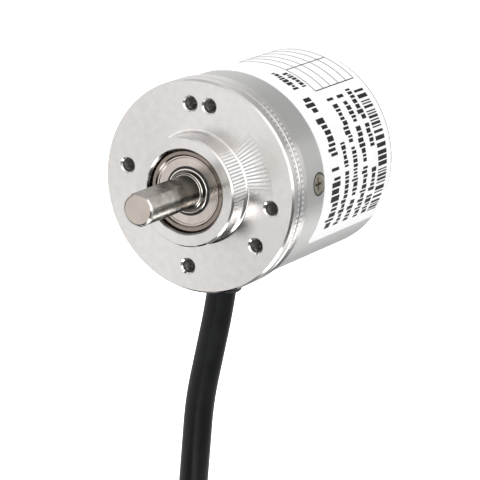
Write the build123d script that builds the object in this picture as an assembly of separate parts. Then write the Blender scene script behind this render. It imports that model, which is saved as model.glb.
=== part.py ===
from build123d import *
import math
import os

# Incremental rotary encoder with a face-mount flange, a solid shaft and a radial cable.
# Millimetres. The shaft axis is Y and the shaft points to -Y. +Z is up, and the cable
# leaves downwards. The origin is the centre of the flange's mounting face.
# Angles round the axis start at +Z and grow towards +X, clockwise seen from the shaft end.

# Fits and the distance that a cutter runs past a surface
bond_fit = 0.01
seat_gap = 0.02
thread_fit = 0.02
race_gap = 0.03
overcut = 1.0

# Flange
flange_radius = 19.45
rim_length = 5.0
rim_edge = 0.35
rim_groove_place = 2.45
rim_groove_width = 0.3
rim_groove_depth = 0.2
web_thickness = 8.0
collar_radius = 10.0
collar_length = 4.75
collar_edge = 0.3
seat_edge = 0.4
carrier_radius = 10.0
carrier_lip = 0.85

# Tapped fixing holes in the flange
hole_circle_radius = 15.0
hole_core_radius = 1.25
hole_mouth_radius = 1.55
hole_depth = 6.5
four_hole_count = 4
three_hole_count = 3
extra_hole_angle = -15.0

# Housing can
can_radius = 18.95
can_wall = 1.25
can_floor = 1.5
can_rear = 38.3
can_edge_radius = 0.8
can_inner_radius = can_radius - can_wall
spigot_wall = 3.6
spigot_end = 13.2

# Seal ring
ring_groove_width = 1.4
ring_groove_depth = 0.83
ring_section_radius = 0.41
ring_place = 7.0

# Radial housing screws
screw_place = 10.15
screw_count = 3
screw_first_angle = 79.2
screw_head_radius = 1.9
screw_head_sink = 0.2
screw_head_rim = 0.15
screw_shank_radius = 1.0
screw_length = 4.0
recess_width = 0.55
recess_span = 2.3
recess_depth = 0.6
recess_taper = 12.0

# Shaft
shaft_radius = 3.0
shaft_reach = 20.3
shaft_edge = 0.45
flat_length = 12.0
flat_depth = 0.5
shoulder_radius = 3.45
shoulder_length = 0.6
shoulder_edge = 0.15
shaft_tail = 0.3
shaft_seam_angle = 52.5

# Shielded ball bearings
bearing_radius = 7.5
bearing_width = 5.0
bearing_recess = 0.9
bearing_edge = 0.3
land_length = 5.0
land_radius = 6.4
ball_radius = 1.19
ball_count = 7
race_shoulder = 0.4
inner_land_radius = 4.06
shield_gap = 0.22
shield_radius = 6.32
shield_thickness = 0.25
shield_sink = 0.3
shield_bead = 0.12
shield_bead_width = 0.35
shield_pocket = 0.65
cage_thickness = 1.0
cage_width = 3.2
pocket_gap = 0.08

# Preload spring washer
spring_inner_radius = 3.1
spring_outer_radius = 4.6
spring_thickness = 0.3
spring_height = 0.65

# Code disc and its hub
hub_radius = 5.0
hub_barrel = 3.9
hub_plate_radius = 7.4
hub_plate = 1.0
pilot_radius = 4.4
clamp_radius = 6.8
clamp_thickness = 0.9
grub_radius = 0.98
grub_angles = (45.0, 165.0)
disc_radius = 11.0
disc_thickness = 0.3
track_inner_radius = 8.5
track_outer_radius = 10.2
slot_count = 60
slot_share = 0.5
index_inner_radius = 7.7
index_outer_radius = 8.2

# Light source
emitter_gap = 0.7
emitter_half_width = 5.2
emitter_low = 8.0
emitter_rim_gap = 1.28
emitter_clearance = 0.3
lamp_radius = 0.95
lamp_length = 2.0
lamp_dome_radius = 0.8
lamp_sink = 0.3
emitter_screw_side = 3.6
emitter_screw_inset = 1.5
small_head_radius = 1.3
small_head_length = 1.0
small_head_sink = 0.2
small_shank_radius = 0.8
small_screw_bite = 3.0
strip_width = 3.0
strip_thickness = 0.2
strip_inset = 0.8

# Circuit boards
board_rim_gap = 0.5
board_thickness = 1.2
sensor_board_gap = 2.7
rear_room_share = 0.478
pillar_inset = 2.08
pillar_width = 2.6
pillar_first_angle = 19.0
pillar_count = 3
pillar_stud_radius = 0.98
pillar_stud_length = 3.0
board_hole_radius = 0.9
board_notch_gap = 0.3
sensor_width = 5.0
sensor_height = 4.0
reticle_width = 4.4
reticle_height = 3.4
reticle_thickness = 0.6
reticle_gap = 0.4
reticle_slot_count = 6
reticle_slot_width = 0.25
reticle_slot_pitch = 0.6
link_width = 12.0
link_depth = 3.0
link_high = 9.0
insulator_thickness = 0.3
insulator_gap = 0.3

# Board components: width, height, thickness, across place, up place
comparator_size = (6.2, 5.0, 1.5)
comparator_place = (-6.0, -2.0)
driver_size = (10.0, 4.0, 1.8)
driver_place = (0.0, 5.5)
regulator_size = (6.5, 6.0, 2.2)
regulator_place = (-7.0, -4.0)
chip_size = (2.0, 1.25, 0.8)
chip_pitch = 2.6
chip_count = 4
sensor_chip_row = (-4.0, -7.5)
interface_chip_row = (-4.0, 10.5)
capacitor_radius = 2.5
capacitor_share = 0.71
capacitor_place = (7.0, -3.5)
capacitor_edge = 0.4

# Cable socket and plug on the interface board
socket_width = 9.2
socket_depth = 5.6
socket_length = 3.4
socket_wall = 0.8
socket_floor = 0.8
socket_room = 5.1
socket_high = socket_room - can_inner_radius
plug_gap = 0.1
plug_length = 4.6
plug_edge = 0.3
pin_pitch = 1.25
pin_columns = 4
pin_rows = 2

# Cable
cable_radius = 2.7
cable_place = 13.9
jacket_room = 2.5
jacket_start = jacket_room - can_inner_radius
grommet_fit = 0.04
cable_hole_radius = 3.6
grommet_radius = 4.3
grommet_tip_radius = 3.5
grommet_shoulder = 0.7
grommet_reach = 3.45
grommet_edge = 0.3
grommet_tail_radius = 3.25
grommet_tail = 0.8
crimp_radius = 3.2
crimp_length = 1.5
notch_half_width = 3.35
notch_start = 9.6
harness_radius = 1.5
harness_bend = 1.6
core_radius = 0.35
core_pitch = 0.8
core_fan_length = 2.4
core_end_gap = 0.18

# Share of the shorter run that each bend of the cable takes up
run_share = 0.45

# Cable route from inside the housing to the coil, chosen by hand from the photograph
cable_route = [
    (0.0, cable_place, jacket_start),
    (0.0, cable_place, -25.0),
    (0.2, 12.0, -35.0),
    (-0.2, 11.4, -44.0),
    (0.2, 11.8, -54.0),
    (0.0, 13.2, -64.0),
    (-0.3, 17.4, -73.6),
    (-1.0, 24.9, -81.6),
    (-2.0, 30.9, -89.0),
]
tail_route = [
    (6.2, 25.6, -103.0),
    (8.4, 25.9, -112.0),
    (12.2, 25.6, -121.5),
    (13.0, 24.6, -131.5),
]

# Coil of the put-away length, hanging just below
coil_radius = 31.2
coil_centre_y = 0.0
coil_centre_z = -109.0
coil_half_width = 9.3
coil_half_height = 8.5
coil_corner_radius = 2.7
tie_width = 3.6
tie_thickness = 1.1
tie_gap = 0.1
tie_angles = (70.0, 290.0)
tie_head = 5.2
tie_head_height = 3.4

# Free end of the cable
sleeve_radius = 3.1
sleeve_overlap = 5.0
sleeve_tip = 5.0
sleeve_bore_gap = 0.05
lead_radius = 0.65
lead_length = 34.0
lead_count = 8
lead_ring_radius = 1.9
lead_splay = 2.0
lead_end_gap = 0.05
ferrule_radius = 0.5
ferrule_length = 6.0

# Label
label_front = 12.0
label_rear_margin = 1.1
label_first_angle = -78.0
label_last_angle = 117.5
label_thickness = 0.08
label_corner_radius = 1.2

# Places worked out from the sizes above
spigot_radius = can_inner_radius - seat_gap
spigot_inner_radius = spigot_radius - spigot_wall
front_bearing_start = bearing_recess - collar_length
rear_bearing_start = front_bearing_start + bearing_width + land_length
rear_bearing_end = rear_bearing_start + bearing_width
carrier_end = rear_bearing_end + carrier_lip
ball_circle_radius = (bearing_radius + shaft_radius) / 2
inner_race_radius = ball_circle_radius - ball_radius
outer_race_radius = ball_circle_radius + ball_radius
hub_start = rear_bearing_end + spring_height
hub_plate_start = hub_start + hub_barrel
disc_start = hub_plate_start + hub_plate
clamp_start = disc_start + disc_thickness
pilot_end = clamp_start + clamp_thickness
shaft_end = pilot_end + shaft_tail
track_radius = (track_inner_radius + track_outer_radius) / 2
emitter_end = disc_start - emitter_gap
emitter_high = spigot_inner_radius - emitter_rim_gap
emitter_screw_high = emitter_high - emitter_screw_inset
strip_high = emitter_high - strip_inset
can_floor_start = can_rear - can_floor
sensor_board_start = clamp_start + sensor_board_gap
sensor_board_end = sensor_board_start + board_thickness
rear_room = rear_room_share * (can_floor_start - sensor_board_end)
interface_board_end = can_floor_start - rear_room
interface_board_start = interface_board_end - board_thickness
board_spacing = interface_board_start - sensor_board_end
capacitor_height = capacitor_share * rear_room
board_radius = can_inner_radius - board_rim_gap
pillar_circle_radius = spigot_radius - pillar_inset
reticle_start = clamp_start + reticle_gap
label_rear = can_rear - label_rear_margin
grommet_end = -(can_radius + grommet_reach)
socket_start = interface_board_start - socket_length
plug_end = interface_board_start - socket_floor
plug_start = plug_end - plug_length

parts = {}


def face_plane(place):
    """Plane square to the axis; its own x and y are the model's X and Z."""
    return Plane(origin=(0, place, 0), x_dir=(1, 0, 0), z_dir=(0, -1, 0))


def slab(shape, start, length):
    """Flat outline pulled along +Y from start."""
    return extrude(face_plane(start) * shape, amount=-length)


def turned(*points):
    """Solid of revolution about the shaft axis from (radius, place) points."""
    return revolve(make_face(Polyline(*points, close=True)), Axis.Y)


def tube(outer, inner, start, end):
    """Plain ring or disc about the shaft axis."""
    return turned((inner, start), (outer, start), (outer, end), (inner, end))


def around(angle, solid):
    """Solid turned about the shaft axis from +Z towards +X."""
    return solid.rotate(Axis.Y, angle)


def polar(radius, angle):
    """X and Z of a point on a circle round the shaft axis."""
    turn = math.radians(angle)
    return radius * math.sin(turn), radius * math.cos(turn)


def rod(radius, start, length, across=0.0, up=0.0):
    """Cylinder along +Y."""
    return slab(Pos(across, up) * Circle(radius), start, length)


def upright(radius, low, high, place):
    """Cylinder along +Z between two heights, on the axis plane."""
    return Pos(0, place, low) * Cylinder(
        radius, high - low, align=(Align.CENTER, Align.CENTER, Align.MIN)
    )


def block(size, start, place):
    """Rectangular package of (width, height, thickness), its back on a board face."""
    return slab(Pos(*place) * Rectangle(size[0], size[1]), start, size[2])


def fixing_hole(angle):
    """Tapped hole with a bevelled mouth and a drill point, seen from the mounting face."""
    bevel = hole_mouth_radius - hole_core_radius
    profile = Polyline(
        (0, 0),
        (hole_mouth_radius, 0),
        (hole_core_radius, bevel),
        (hole_core_radius, hole_depth),
        (0, hole_depth + hole_core_radius / 2),
        close=True,
    )
    hole = revolve(make_face(profile), Axis.Y)
    across, up = polar(hole_circle_radius, angle)
    return Pos(across, 0, up) * hole


def fixing_hole_angles():
    """Four holes at right angles, three at 120 degrees that share the top one, and one more."""
    four = [index * 360 / four_hole_count for index in range(four_hole_count)]
    three = [index * 360 / three_hole_count for index in range(1, three_hole_count)]
    return four + three + [extra_hole_angle]


def screw_angles():
    return [screw_first_angle + index * 360 / screw_count for index in range(screw_count)]


def pillar_angles():
    return [pillar_first_angle + index * 360 / pillar_count for index in range(pillar_count)]


def flange_blank():
    """Turned flange: collar in front, rim, spigot for the can, bearing carrier behind."""
    seat = bearing_radius + bond_fit
    front = -collar_length
    return turned(
        (seat + seat_edge, front),
        (collar_radius - collar_edge, front),
        (collar_radius, front + collar_edge),
        (collar_radius, 0),
        (flange_radius - rim_edge, 0),
        (flange_radius, rim_edge),
        (flange_radius, rim_length),
        (spigot_radius, rim_length),
        (spigot_radius, spigot_end),
        (spigot_inner_radius, spigot_end),
        (spigot_inner_radius, web_thickness),
        (carrier_radius, web_thickness),
        (carrier_radius, carrier_end),
        (seat, carrier_end),
        (seat, rear_bearing_start),
        (land_radius, rear_bearing_start),
        (land_radius, front_bearing_start + bearing_width),
        (seat, front_bearing_start + bearing_width),
        (seat, front + seat_edge),
    )


def rim_groove():
    """Ring cut as a notch that is twice as wide outside the rim as at it."""
    return turned(
        (flange_radius - rim_groove_depth, rim_groove_place),
        (flange_radius + rim_groove_depth, rim_groove_place - rim_groove_width),
        (flange_radius + rim_groove_depth, rim_groove_place + rim_groove_width),
    )


def seal_groove():
    half = ring_groove_width / 2
    return tube(
        spigot_radius + seat_gap,
        spigot_radius - ring_groove_depth,
        ring_place - half,
        ring_place + half,
    )


def make_flange():
    body = flange_blank() - rim_groove() - seal_groove()
    for angle in fixing_hole_angles():
        body -= fixing_hole(angle)
    for angle in screw_angles():
        tapped = upright(
            screw_shank_radius + thread_fit, spigot_inner_radius - overcut, can_radius, screw_place
        )
        body -= around(angle, tapped)
    for angle in pillar_angles():
        across, up = polar(pillar_circle_radius, angle)
        start = spigot_end - pillar_stud_length
        body -= rod(pillar_stud_radius + thread_fit, start, pillar_stud_length, across, up)
    for side in (-1, 1):
        start = web_thickness - small_screw_bite
        across = side * emitter_screw_side
        body -= rod(
            small_shank_radius + thread_fit, start, small_screw_bite, across, emitter_screw_high
        )
    notch = Pos(0, -(spigot_inner_radius + can_radius) / 2) * Rectangle(
        2 * notch_half_width, can_radius - spigot_inner_radius + 2 * overcut
    )
    return body - slab(notch, notch_start, spigot_end - notch_start)


def screw_hole():
    """Countersunk hole in the can wall for one radial screw, along +Z."""
    gap = thread_fit
    under = can_radius - screw_head_sink - screw_head_rim
    profile = Polyline(
        (0, can_radius + overcut),
        (screw_head_radius + gap, can_radius + overcut),
        (screw_head_radius + gap, under),
        (screw_shank_radius + gap, can_inner_radius),
        (screw_shank_radius + gap, can_inner_radius - overcut),
        (0, can_inner_radius - overcut),
        close=True,
    )
    return Pos(0, screw_place, 0) * revolve(make_face(Plane.XZ * profile), Axis.Z)


def make_can():
    """Cup with a rounded rear edge, three screw holes and the cable hole."""
    floor = can_floor_start
    outer = tube(can_radius, 0, rim_length, can_rear)
    outer = fillet(outer.edges().filter_by(GeomType.CIRCLE).sort_by(Axis.Y)[-1], can_edge_radius)
    body = outer - tube(can_inner_radius, 0, rim_length, floor)
    for angle in screw_angles():
        body -= around(angle, screw_hole())
    return body - upright(
        cable_hole_radius, -can_radius - overcut, -spigot_inner_radius, cable_place
    )


def make_seal():
    centre = spigot_radius - ring_groove_depth + ring_section_radius + bond_fit
    return Pos(0, ring_place, 0) * Rot(90, 0, 0) * Torus(centre, ring_section_radius)


def make_screw():
    """Countersunk screw with a cross recess, along +Z at the top of the housing."""
    top = can_radius - screw_head_sink
    under = top - screw_head_rim
    profile = Polyline(
        (0, top),
        (screw_head_radius, top),
        (screw_head_radius, under),
        (screw_shank_radius, can_inner_radius),
        (screw_shank_radius, top - screw_length),
        (0, top - screw_length),
        close=True,
    )
    screw = revolve(make_face(Plane.XZ * profile), Axis.Z)
    cross = Rectangle(recess_span, recess_width) + Rectangle(recess_width, recess_span)
    screw -= extrude(Pos(0, 0, top) * cross, amount=-recess_depth, taper=recess_taper)
    return Pos(0, screw_place, 0) * screw


def make_housing_screws():
    return [around(angle, make_screw()) for angle in screw_angles()]


def make_shaft():
    """Shaft with a flat at the coupling end and a shoulder that bears on the front bearing."""
    tip = -shaft_reach
    shoulder = front_bearing_start - shoulder_length
    shaft = turned(
        (0, tip),
        (shaft_radius - shaft_edge, tip),
        (shaft_radius, tip + shaft_edge),
        (shaft_radius, shoulder),
        (shoulder_radius - shoulder_edge, shoulder),
        (shoulder_radius, shoulder + shoulder_edge),
        (shoulder_radius, front_bearing_start),
        (shaft_radius, front_bearing_start),
        (shaft_radius, shaft_end),
        (0, shaft_end),
    )
    flat = Pos(0, shaft_radius) * Rectangle(2 * shaft_radius, 2 * flat_depth)
    return around(shaft_seam_angle, shaft) - slab(flat, tip, flat_length)


def race_ring():
    """Round groove that both rings share, centred in a bearing that starts at zero."""
    centre = Pos(0, bearing_width / 2, 0) * Rot(90, 0, 0)
    return centre * Torus(ball_circle_radius, ball_radius + race_gap)


def make_outer_ring(start):
    """Outer ring with a ball groove and a stepped mouth for each shield."""
    width = bearing_width
    land = outer_race_radius - race_shoulder
    mouth = shield_radius + bond_fit
    profile = turned(
        (land, shield_pocket),
        (mouth, shield_pocket),
        (mouth, bearing_edge),
        (mouth + bearing_edge, 0),
        (bearing_radius - bearing_edge, 0),
        (bearing_radius, bearing_edge),
        (bearing_radius, width - bearing_edge),
        (bearing_radius - bearing_edge, width),
        (mouth + bearing_edge, width),
        (mouth, width - bearing_edge),
        (mouth, width - shield_pocket),
        (land, width - shield_pocket),
    )
    return Pos(0, start, 0) * (profile - race_ring())


def make_inner_ring(start):
    """Inner ring with a ball groove between shoulders and a narrow land at each end."""
    width = bearing_width
    bore = shaft_radius + bond_fit
    shoulder = inner_race_radius + race_shoulder
    step = shield_pocket + shield_gap
    edge = bearing_edge / 2
    profile = turned(
        (bore + edge, 0),
        (inner_land_radius - edge, 0),
        (inner_land_radius, edge),
        (inner_land_radius, step),
        (shoulder, step),
        (shoulder, width - step),
        (inner_land_radius, width - step),
        (inner_land_radius, width - edge),
        (inner_land_radius - edge, width),
        (bore + edge, width),
        (bore, width - edge),
        (bore, edge),
    )
    return Pos(0, start, 0) * (profile - race_ring())


def make_shields(start):
    """Two pressed shields with a rolled bead at the rim, sunk into the outer ring."""
    inner = inner_land_radius + shield_gap
    bead = shield_radius - shield_bead_width
    back = shield_sink + shield_thickness
    front_shield = turned(
        (inner, shield_sink),
        (bead, shield_sink),
        (bead + shield_bead, shield_sink - shield_bead),
        (shield_radius, shield_sink - shield_bead),
        (shield_radius, back + bond_fit),
        (bead, back),
        (inner, back),
    )
    middle = Plane.XZ.offset(-bearing_width / 2)
    return [
        Pos(0, start, 0) * front_shield,
        Pos(0, start, 0) * mirror(front_shield, about=middle),
    ]


def ball_places():
    return [polar(ball_circle_radius, index * 360 / ball_count) for index in range(ball_count)]


def make_balls(start):
    middle = start + bearing_width / 2
    return [Pos(across, middle, up) * Sphere(ball_radius) for across, up in ball_places()]


def make_cage(start):
    """Ball cage: a ring with a round pocket for each ball."""
    half = cage_thickness / 2
    middle = start + bearing_width / 2
    cage = tube(
        ball_circle_radius + half,
        ball_circle_radius - half,
        middle - cage_width / 2,
        middle + cage_width / 2,
    )
    for index in range(ball_count):
        pocket = upright(ball_radius + pocket_gap, 0, bearing_radius, middle)
        cage -= around(index * 360 / ball_count, pocket)
    return cage


def make_preload_washer():
    """Conical spring washer between the rear inner ring and the disc hub."""
    rise = spring_height - spring_thickness
    return turned(
        (spring_inner_radius, rear_bearing_end),
        (spring_outer_radius, rear_bearing_end + rise),
        (spring_outer_radius, rear_bearing_end + spring_height),
        (spring_inner_radius, rear_bearing_end + spring_thickness),
    )


def make_disc_hub():
    """Hub with a barrel, a plate that carries the disc and a pilot through its bore."""
    bore = shaft_radius + bond_fit
    hub = turned(
        (bore, hub_start),
        (hub_radius, hub_start),
        (hub_radius, hub_plate_start),
        (hub_plate_radius, hub_plate_start),
        (hub_plate_radius, disc_start),
        (pilot_radius, disc_start),
        (pilot_radius, pilot_end),
        (bore, pilot_end),
    )
    middle = (hub_start + hub_plate_start) / 2
    for angle in grub_angles:
        hub -= around(angle, upright(grub_radius + thread_fit, 0, hub_radius + overcut, middle))
    return hub


def make_grub_screws():
    """Set screws that lock the hub to the shaft."""
    middle = (hub_start + hub_plate_start) / 2
    low = shaft_radius + seat_gap
    high = hub_radius - seat_gap
    return [around(angle, upright(grub_radius, low, high, middle)) for angle in grub_angles]


def ring_sector(inner, outer, half_angle):
    """Flat sector of a ring round the top, used for one slot."""
    corners = [
        polar(inner, -half_angle),
        polar(outer, -half_angle),
        polar(outer, half_angle),
        polar(inner, half_angle),
    ]
    return make_face(Polyline(*corners, close=True))


def make_code_disc():
    """Metal code disc with a ring of evenly spaced slots and one index slot."""
    outline = Circle(disc_radius) - Circle(pilot_radius + seat_gap)
    half_slot = 360 / slot_count * slot_share / 2
    slot = ring_sector(track_inner_radius, track_outer_radius, half_slot)
    for index in range(slot_count):
        outline -= Rot(0, 0, index * 360 / slot_count) * slot
    outline -= ring_sector(index_inner_radius, index_outer_radius, half_slot)
    return slab(outline, disc_start, disc_thickness)


def make_disc_clamp():
    return tube(clamp_radius, pilot_radius + seat_gap, clamp_start, pilot_end)


def emitter_screw_places():
    return [(side * emitter_screw_side, emitter_screw_high) for side in (-1, 1)]


def make_emitter_block():
    """Moulded lamp holder: a foot on the flange web and a nose over the code track."""
    foot_low = carrier_radius + emitter_clearance
    nose_start = carrier_end + emitter_clearance
    outline = Polyline(
        (foot_low, web_thickness),
        (emitter_high, web_thickness),
        (emitter_high, emitter_end),
        (emitter_low, emitter_end),
        (emitter_low, nose_start),
        (foot_low, nose_start),
        close=True,
    )
    side_plane = Plane(origin=(0, 0, 0), x_dir=(0, 0, 1), z_dir=(-1, 0, 0))
    body = extrude(side_plane * make_face(outline), amount=emitter_half_width, both=True)
    body -= rod(lamp_radius + bond_fit, nose_start, emitter_end, 0, track_radius)
    head_start = emitter_end - small_head_sink - small_head_length
    for across, up in emitter_screw_places():
        body -= rod(small_shank_radius + thread_fit, web_thickness, emitter_end, across, up)
        body -= rod(small_head_radius + thread_fit, head_start, emitter_end, across, up)
    return body


def make_emitter_lamp():
    """Light source with a domed lens that looks at the code track."""
    barrel_end = emitter_end - lamp_sink - lamp_dome_radius
    barrel = rod(lamp_radius, barrel_end - lamp_length, lamp_length, 0, track_radius)
    return barrel + Pos(0, barrel_end, track_radius) * Sphere(lamp_dome_radius)


def pan_screw(start, head_radius, head_length, shank_radius, shank_length, across, up):
    """Small pan-head screw along -Y, its head starting at start."""
    head = rod(head_radius, start, head_length, across, up)
    edge = head.edges().filter_by(GeomType.CIRCLE).sort_by(Axis.Y)[-1]
    head = fillet(edge, head_length / 2)
    return head + rod(shank_radius, start - shank_length, shank_length, across, up)


def make_emitter_screws():
    head_start = emitter_end - small_head_sink - small_head_length
    bite = head_start - web_thickness + small_screw_bite - seat_gap
    return [
        pan_screw(
            head_start, small_head_radius, small_head_length, small_shank_radius, bite, *place
        )
        for place in emitter_screw_places()
    ]


def make_emitter_strip():
    """Flexible strip that feeds the lamp from the sensor board."""
    outline = Pos(0, strip_high + strip_thickness / 2) * Rectangle(strip_width, strip_thickness)
    return slab(outline, emitter_end, sensor_board_start - emitter_end)


def board_outline():
    outline = Circle(board_radius)
    for angle in pillar_angles():
        outline -= Pos(*polar(pillar_circle_radius, angle)) * Circle(board_hole_radius)
    return outline


def make_sensor_board():
    """Front board with an edge notch that the cable's cores pass through."""
    top = socket_high + socket_depth / 2 + board_notch_gap
    width = socket_width + 2 * board_notch_gap
    notch = Pos(0, top - board_radius / 2) * Rectangle(width, board_radius)
    return slab(board_outline() - notch, sensor_board_start, board_thickness)


def make_interface_board():
    return slab(board_outline(), interface_board_start, board_thickness)


def make_sensor():
    """Optical sensor package on the front board, behind the code track."""
    thickness = sensor_board_start - reticle_start - reticle_thickness
    start = reticle_start + reticle_thickness
    return block((sensor_width, sensor_height, thickness), start, (0, track_radius))


def make_reticle():
    """Glass mask on the sensor, with a row of slits the width of the disc's slots."""
    outline = Pos(0, track_radius) * Rectangle(reticle_width, reticle_height)
    height = track_outer_radius - track_inner_radius
    for index in range(reticle_slot_count):
        across = (index - (reticle_slot_count - 1) / 2) * reticle_slot_pitch
        outline -= Pos(across, track_radius) * Rectangle(reticle_slot_width, height)
    return slab(outline, reticle_start, reticle_thickness)


def hex_pillar(start, end, angle, stud_radius, hole_radius):
    """Hexagonal spacer with a stud in front and a tapped hole behind."""
    across, up = polar(pillar_circle_radius, angle)
    outline = Pos(across, up) * RegularPolygon(pillar_width / 2, 6, major_radius=False)
    pillar = slab(outline, start, end - start)
    stud = rod(stud_radius, start - pillar_stud_length, pillar_stud_length, across, up)
    hole = rod(hole_radius, end - pillar_stud_length - seat_gap, can_rear, across, up)
    return pillar + stud - hole


def make_pillars():
    hole = small_shank_radius + thread_fit
    return [
        hex_pillar(spigot_end, sensor_board_start, angle, pillar_stud_radius, hole)
        for angle in pillar_angles()
    ]


def make_board_spacers():
    hole = small_shank_radius + thread_fit
    return [
        hex_pillar(sensor_board_end, interface_board_start, angle, small_shank_radius, hole)
        for angle in pillar_angles()
    ]


def make_board_screws():
    shank = board_thickness + small_screw_bite - seat_gap
    return [
        pan_screw(
            interface_board_end,
            small_head_radius,
            small_head_length,
            small_shank_radius,
            shank,
            *polar(pillar_circle_radius, angle),
        )
        for angle in pillar_angles()
    ]


def chip_row(start, row):
    """Row of small chip parts on a board's rear face."""
    first, up = row
    return [
        block(chip_size, start, (first + index * chip_pitch, up)) for index in range(chip_count)
    ]


def make_sensor_board_chips():
    package = block(comparator_size, sensor_board_end, comparator_place)
    return [package] + chip_row(sensor_board_end, sensor_chip_row)


def make_interface_board_chips():
    packages = [
        block(driver_size, interface_board_end, driver_place),
        block(regulator_size, interface_board_end, regulator_place),
    ]
    return packages + chip_row(interface_board_end, interface_chip_row)


def make_capacitor():
    can = rod(capacitor_radius, interface_board_end, capacitor_height, *capacitor_place)
    edge = can.edges().filter_by(GeomType.CIRCLE).sort_by(Axis.Y)[-1]
    return fillet(edge, capacitor_edge)


def make_board_link():
    """Stacking connector that joins the two boards."""
    return block((link_width, link_depth, board_spacing), sensor_board_end, (0, link_high))


def make_insulator():
    start = can_floor_start - insulator_thickness
    return tube(can_inner_radius - insulator_gap, 0, start, can_floor_start)


def make_cable_socket():
    """Open socket on the interface board's front face."""
    body = Pos(0, socket_high) * Rectangle(socket_width, socket_depth)
    cavity = Pos(0, socket_high) * Rectangle(
        socket_width - 2 * socket_wall, socket_depth - 2 * socket_wall
    )
    shell = slab(body, socket_start, socket_length)
    return shell - slab(cavity, socket_start, socket_length - socket_floor)


def make_cable_plug():
    """Crimp plug pushed into the socket."""
    wide = socket_width - 2 * socket_wall - 2 * plug_gap
    deep = socket_depth - 2 * socket_wall - 2 * plug_gap
    plug = slab(Pos(0, socket_high) * Rectangle(wide, deep), plug_start, plug_length)
    return chamfer(plug.edges().filter_by(Axis.Y), plug_edge)


def core_grid(pitch):
    """Places of the eight cores in two rows of four."""
    return [
        (
            (column - (pin_columns - 1) / 2) * pitch,
            (row - (pin_rows - 1) / 2) * pitch,
        )
        for row in range(pin_rows)
        for column in range(pin_columns)
    ]


def make_inner_cores():
    """Cores fanning out from the harness sleeve to the plug."""
    start = plug_start - core_fan_length
    cores = []
    for near, far in zip(core_grid(core_pitch), core_grid(pin_pitch)):
        first = Vector(near[0], start + core_end_gap, harness_height() + near[1])
        last = Vector(far[0], plug_start - core_end_gap, socket_high + far[1])
        plane = Plane(origin=first, z_dir=last - first)
        cores.append(extrude(plane * Circle(core_radius), amount=(last - first).length))
    return cores


def harness_height():
    """Height of the harness where it runs along the axis."""
    return jacket_start + harness_bend + 2 * bond_fit


def make_inner_harness():
    """Sleeved bundle of cores from the end of the jacket to the plug."""
    path = FilletPolyline(
        (0, cable_place, jacket_start + bond_fit),
        (0, cable_place, harness_height()),
        (0, plug_start - core_fan_length, harness_height()),
        radius=harness_bend,
    )
    start = Plane(origin=(0, cable_place, jacket_start + bond_fit), z_dir=(0, 0, 1))
    return sweep(start * Circle(harness_radius), path=path)


def make_grommet():
    """Bush in the cable hole: a saddle collar outside and a neck through the wall."""
    bore = cable_radius + grommet_fit
    shoulder = -(can_radius + grommet_shoulder)
    collar_profile = Polyline(
        (bore, grommet_end),
        (grommet_tip_radius - grommet_edge, grommet_end),
        (grommet_tip_radius, grommet_end + grommet_edge),
        (grommet_radius, shoulder),
        (grommet_radius, -spigot_inner_radius),
        (bore, -spigot_inner_radius),
        close=True,
    )
    collar = revolve(make_face(Plane.XZ * collar_profile), Axis.Z)
    collar = Pos(0, cable_place, 0) * collar - tube(can_radius, 0, rim_length, can_rear)
    neck = upright(cable_hole_radius - seat_gap, shoulder, -spigot_inner_radius, cable_place)
    neck -= tube(can_inner_radius, 0, rim_length, can_rear)
    tail_end = grommet_tail - can_inner_radius
    tail = upright(grommet_tail_radius, -can_radius, tail_end, cable_place)
    hole = upright(bore, grommet_end - overcut, -spigot_inner_radius, cable_place)
    return collar + neck + tail - hole


def make_cable_crimp():
    """Metal ring crimped on the jacket behind the grommet, which takes the pull."""
    low = grommet_tail - can_inner_radius + bond_fit
    ring = upright(crimp_radius, low, low + crimp_length, cable_place)
    return ring - upright(cable_radius + seat_gap, low, low + crimp_length, cable_place)


def bend_radii(route):
    """Largest radius that the two runs at each corner allow."""
    points = [Vector(*point) for point in route]
    radii = []
    for before, here, after in zip(points, points[1:], points[2:]):
        turn = math.radians((here - before).get_angle(after - here))
        shorter = min((here - before).length, (after - here).length)
        radii.append(run_share * shorter / math.tan(turn / 2))
    return radii


def make_cord(name, route):
    """Tube along straight runs joined by tangent arcs."""
    radii = bend_radii(route)
    path = FilletPolyline(*route, radius=radii)
    start = Plane(origin=route[0], z_dir=Vector(*route[1]) - Vector(*route[0]))
    cord = sweep(start * Circle(cable_radius), path=path)
    section = math.pi * cable_radius**2
    print(name, "length", round(path.length, 2), "radii", [round(r, 1) for r in radii])
    print(name, "volume over section times length", round(cord.volume / section / path.length, 4))
    return cord


def coil_place(angle, radius=coil_radius, aside=0.0):
    """Point on the coil; the angle starts at its top and grows towards +Y."""
    turn = math.radians(angle)
    return Vector(
        aside,
        coil_centre_y + radius * math.sin(turn),
        coil_centre_z + radius * math.cos(turn),
    )


def make_coil():
    """Outer shape of the tied round coil, upright in the plane of the shaft axis."""
    section = RectangleRounded(2 * coil_half_width, 2 * coil_half_height, coil_corner_radius)
    section_plane = Plane(origin=(0, coil_radius, 0), x_dir=(1, 0, 0), z_dir=(0, 0, 1))
    ring = revolve(section_plane * section, Axis.X)
    return Pos(0, coil_centre_y, coil_centre_z) * ring


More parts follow.
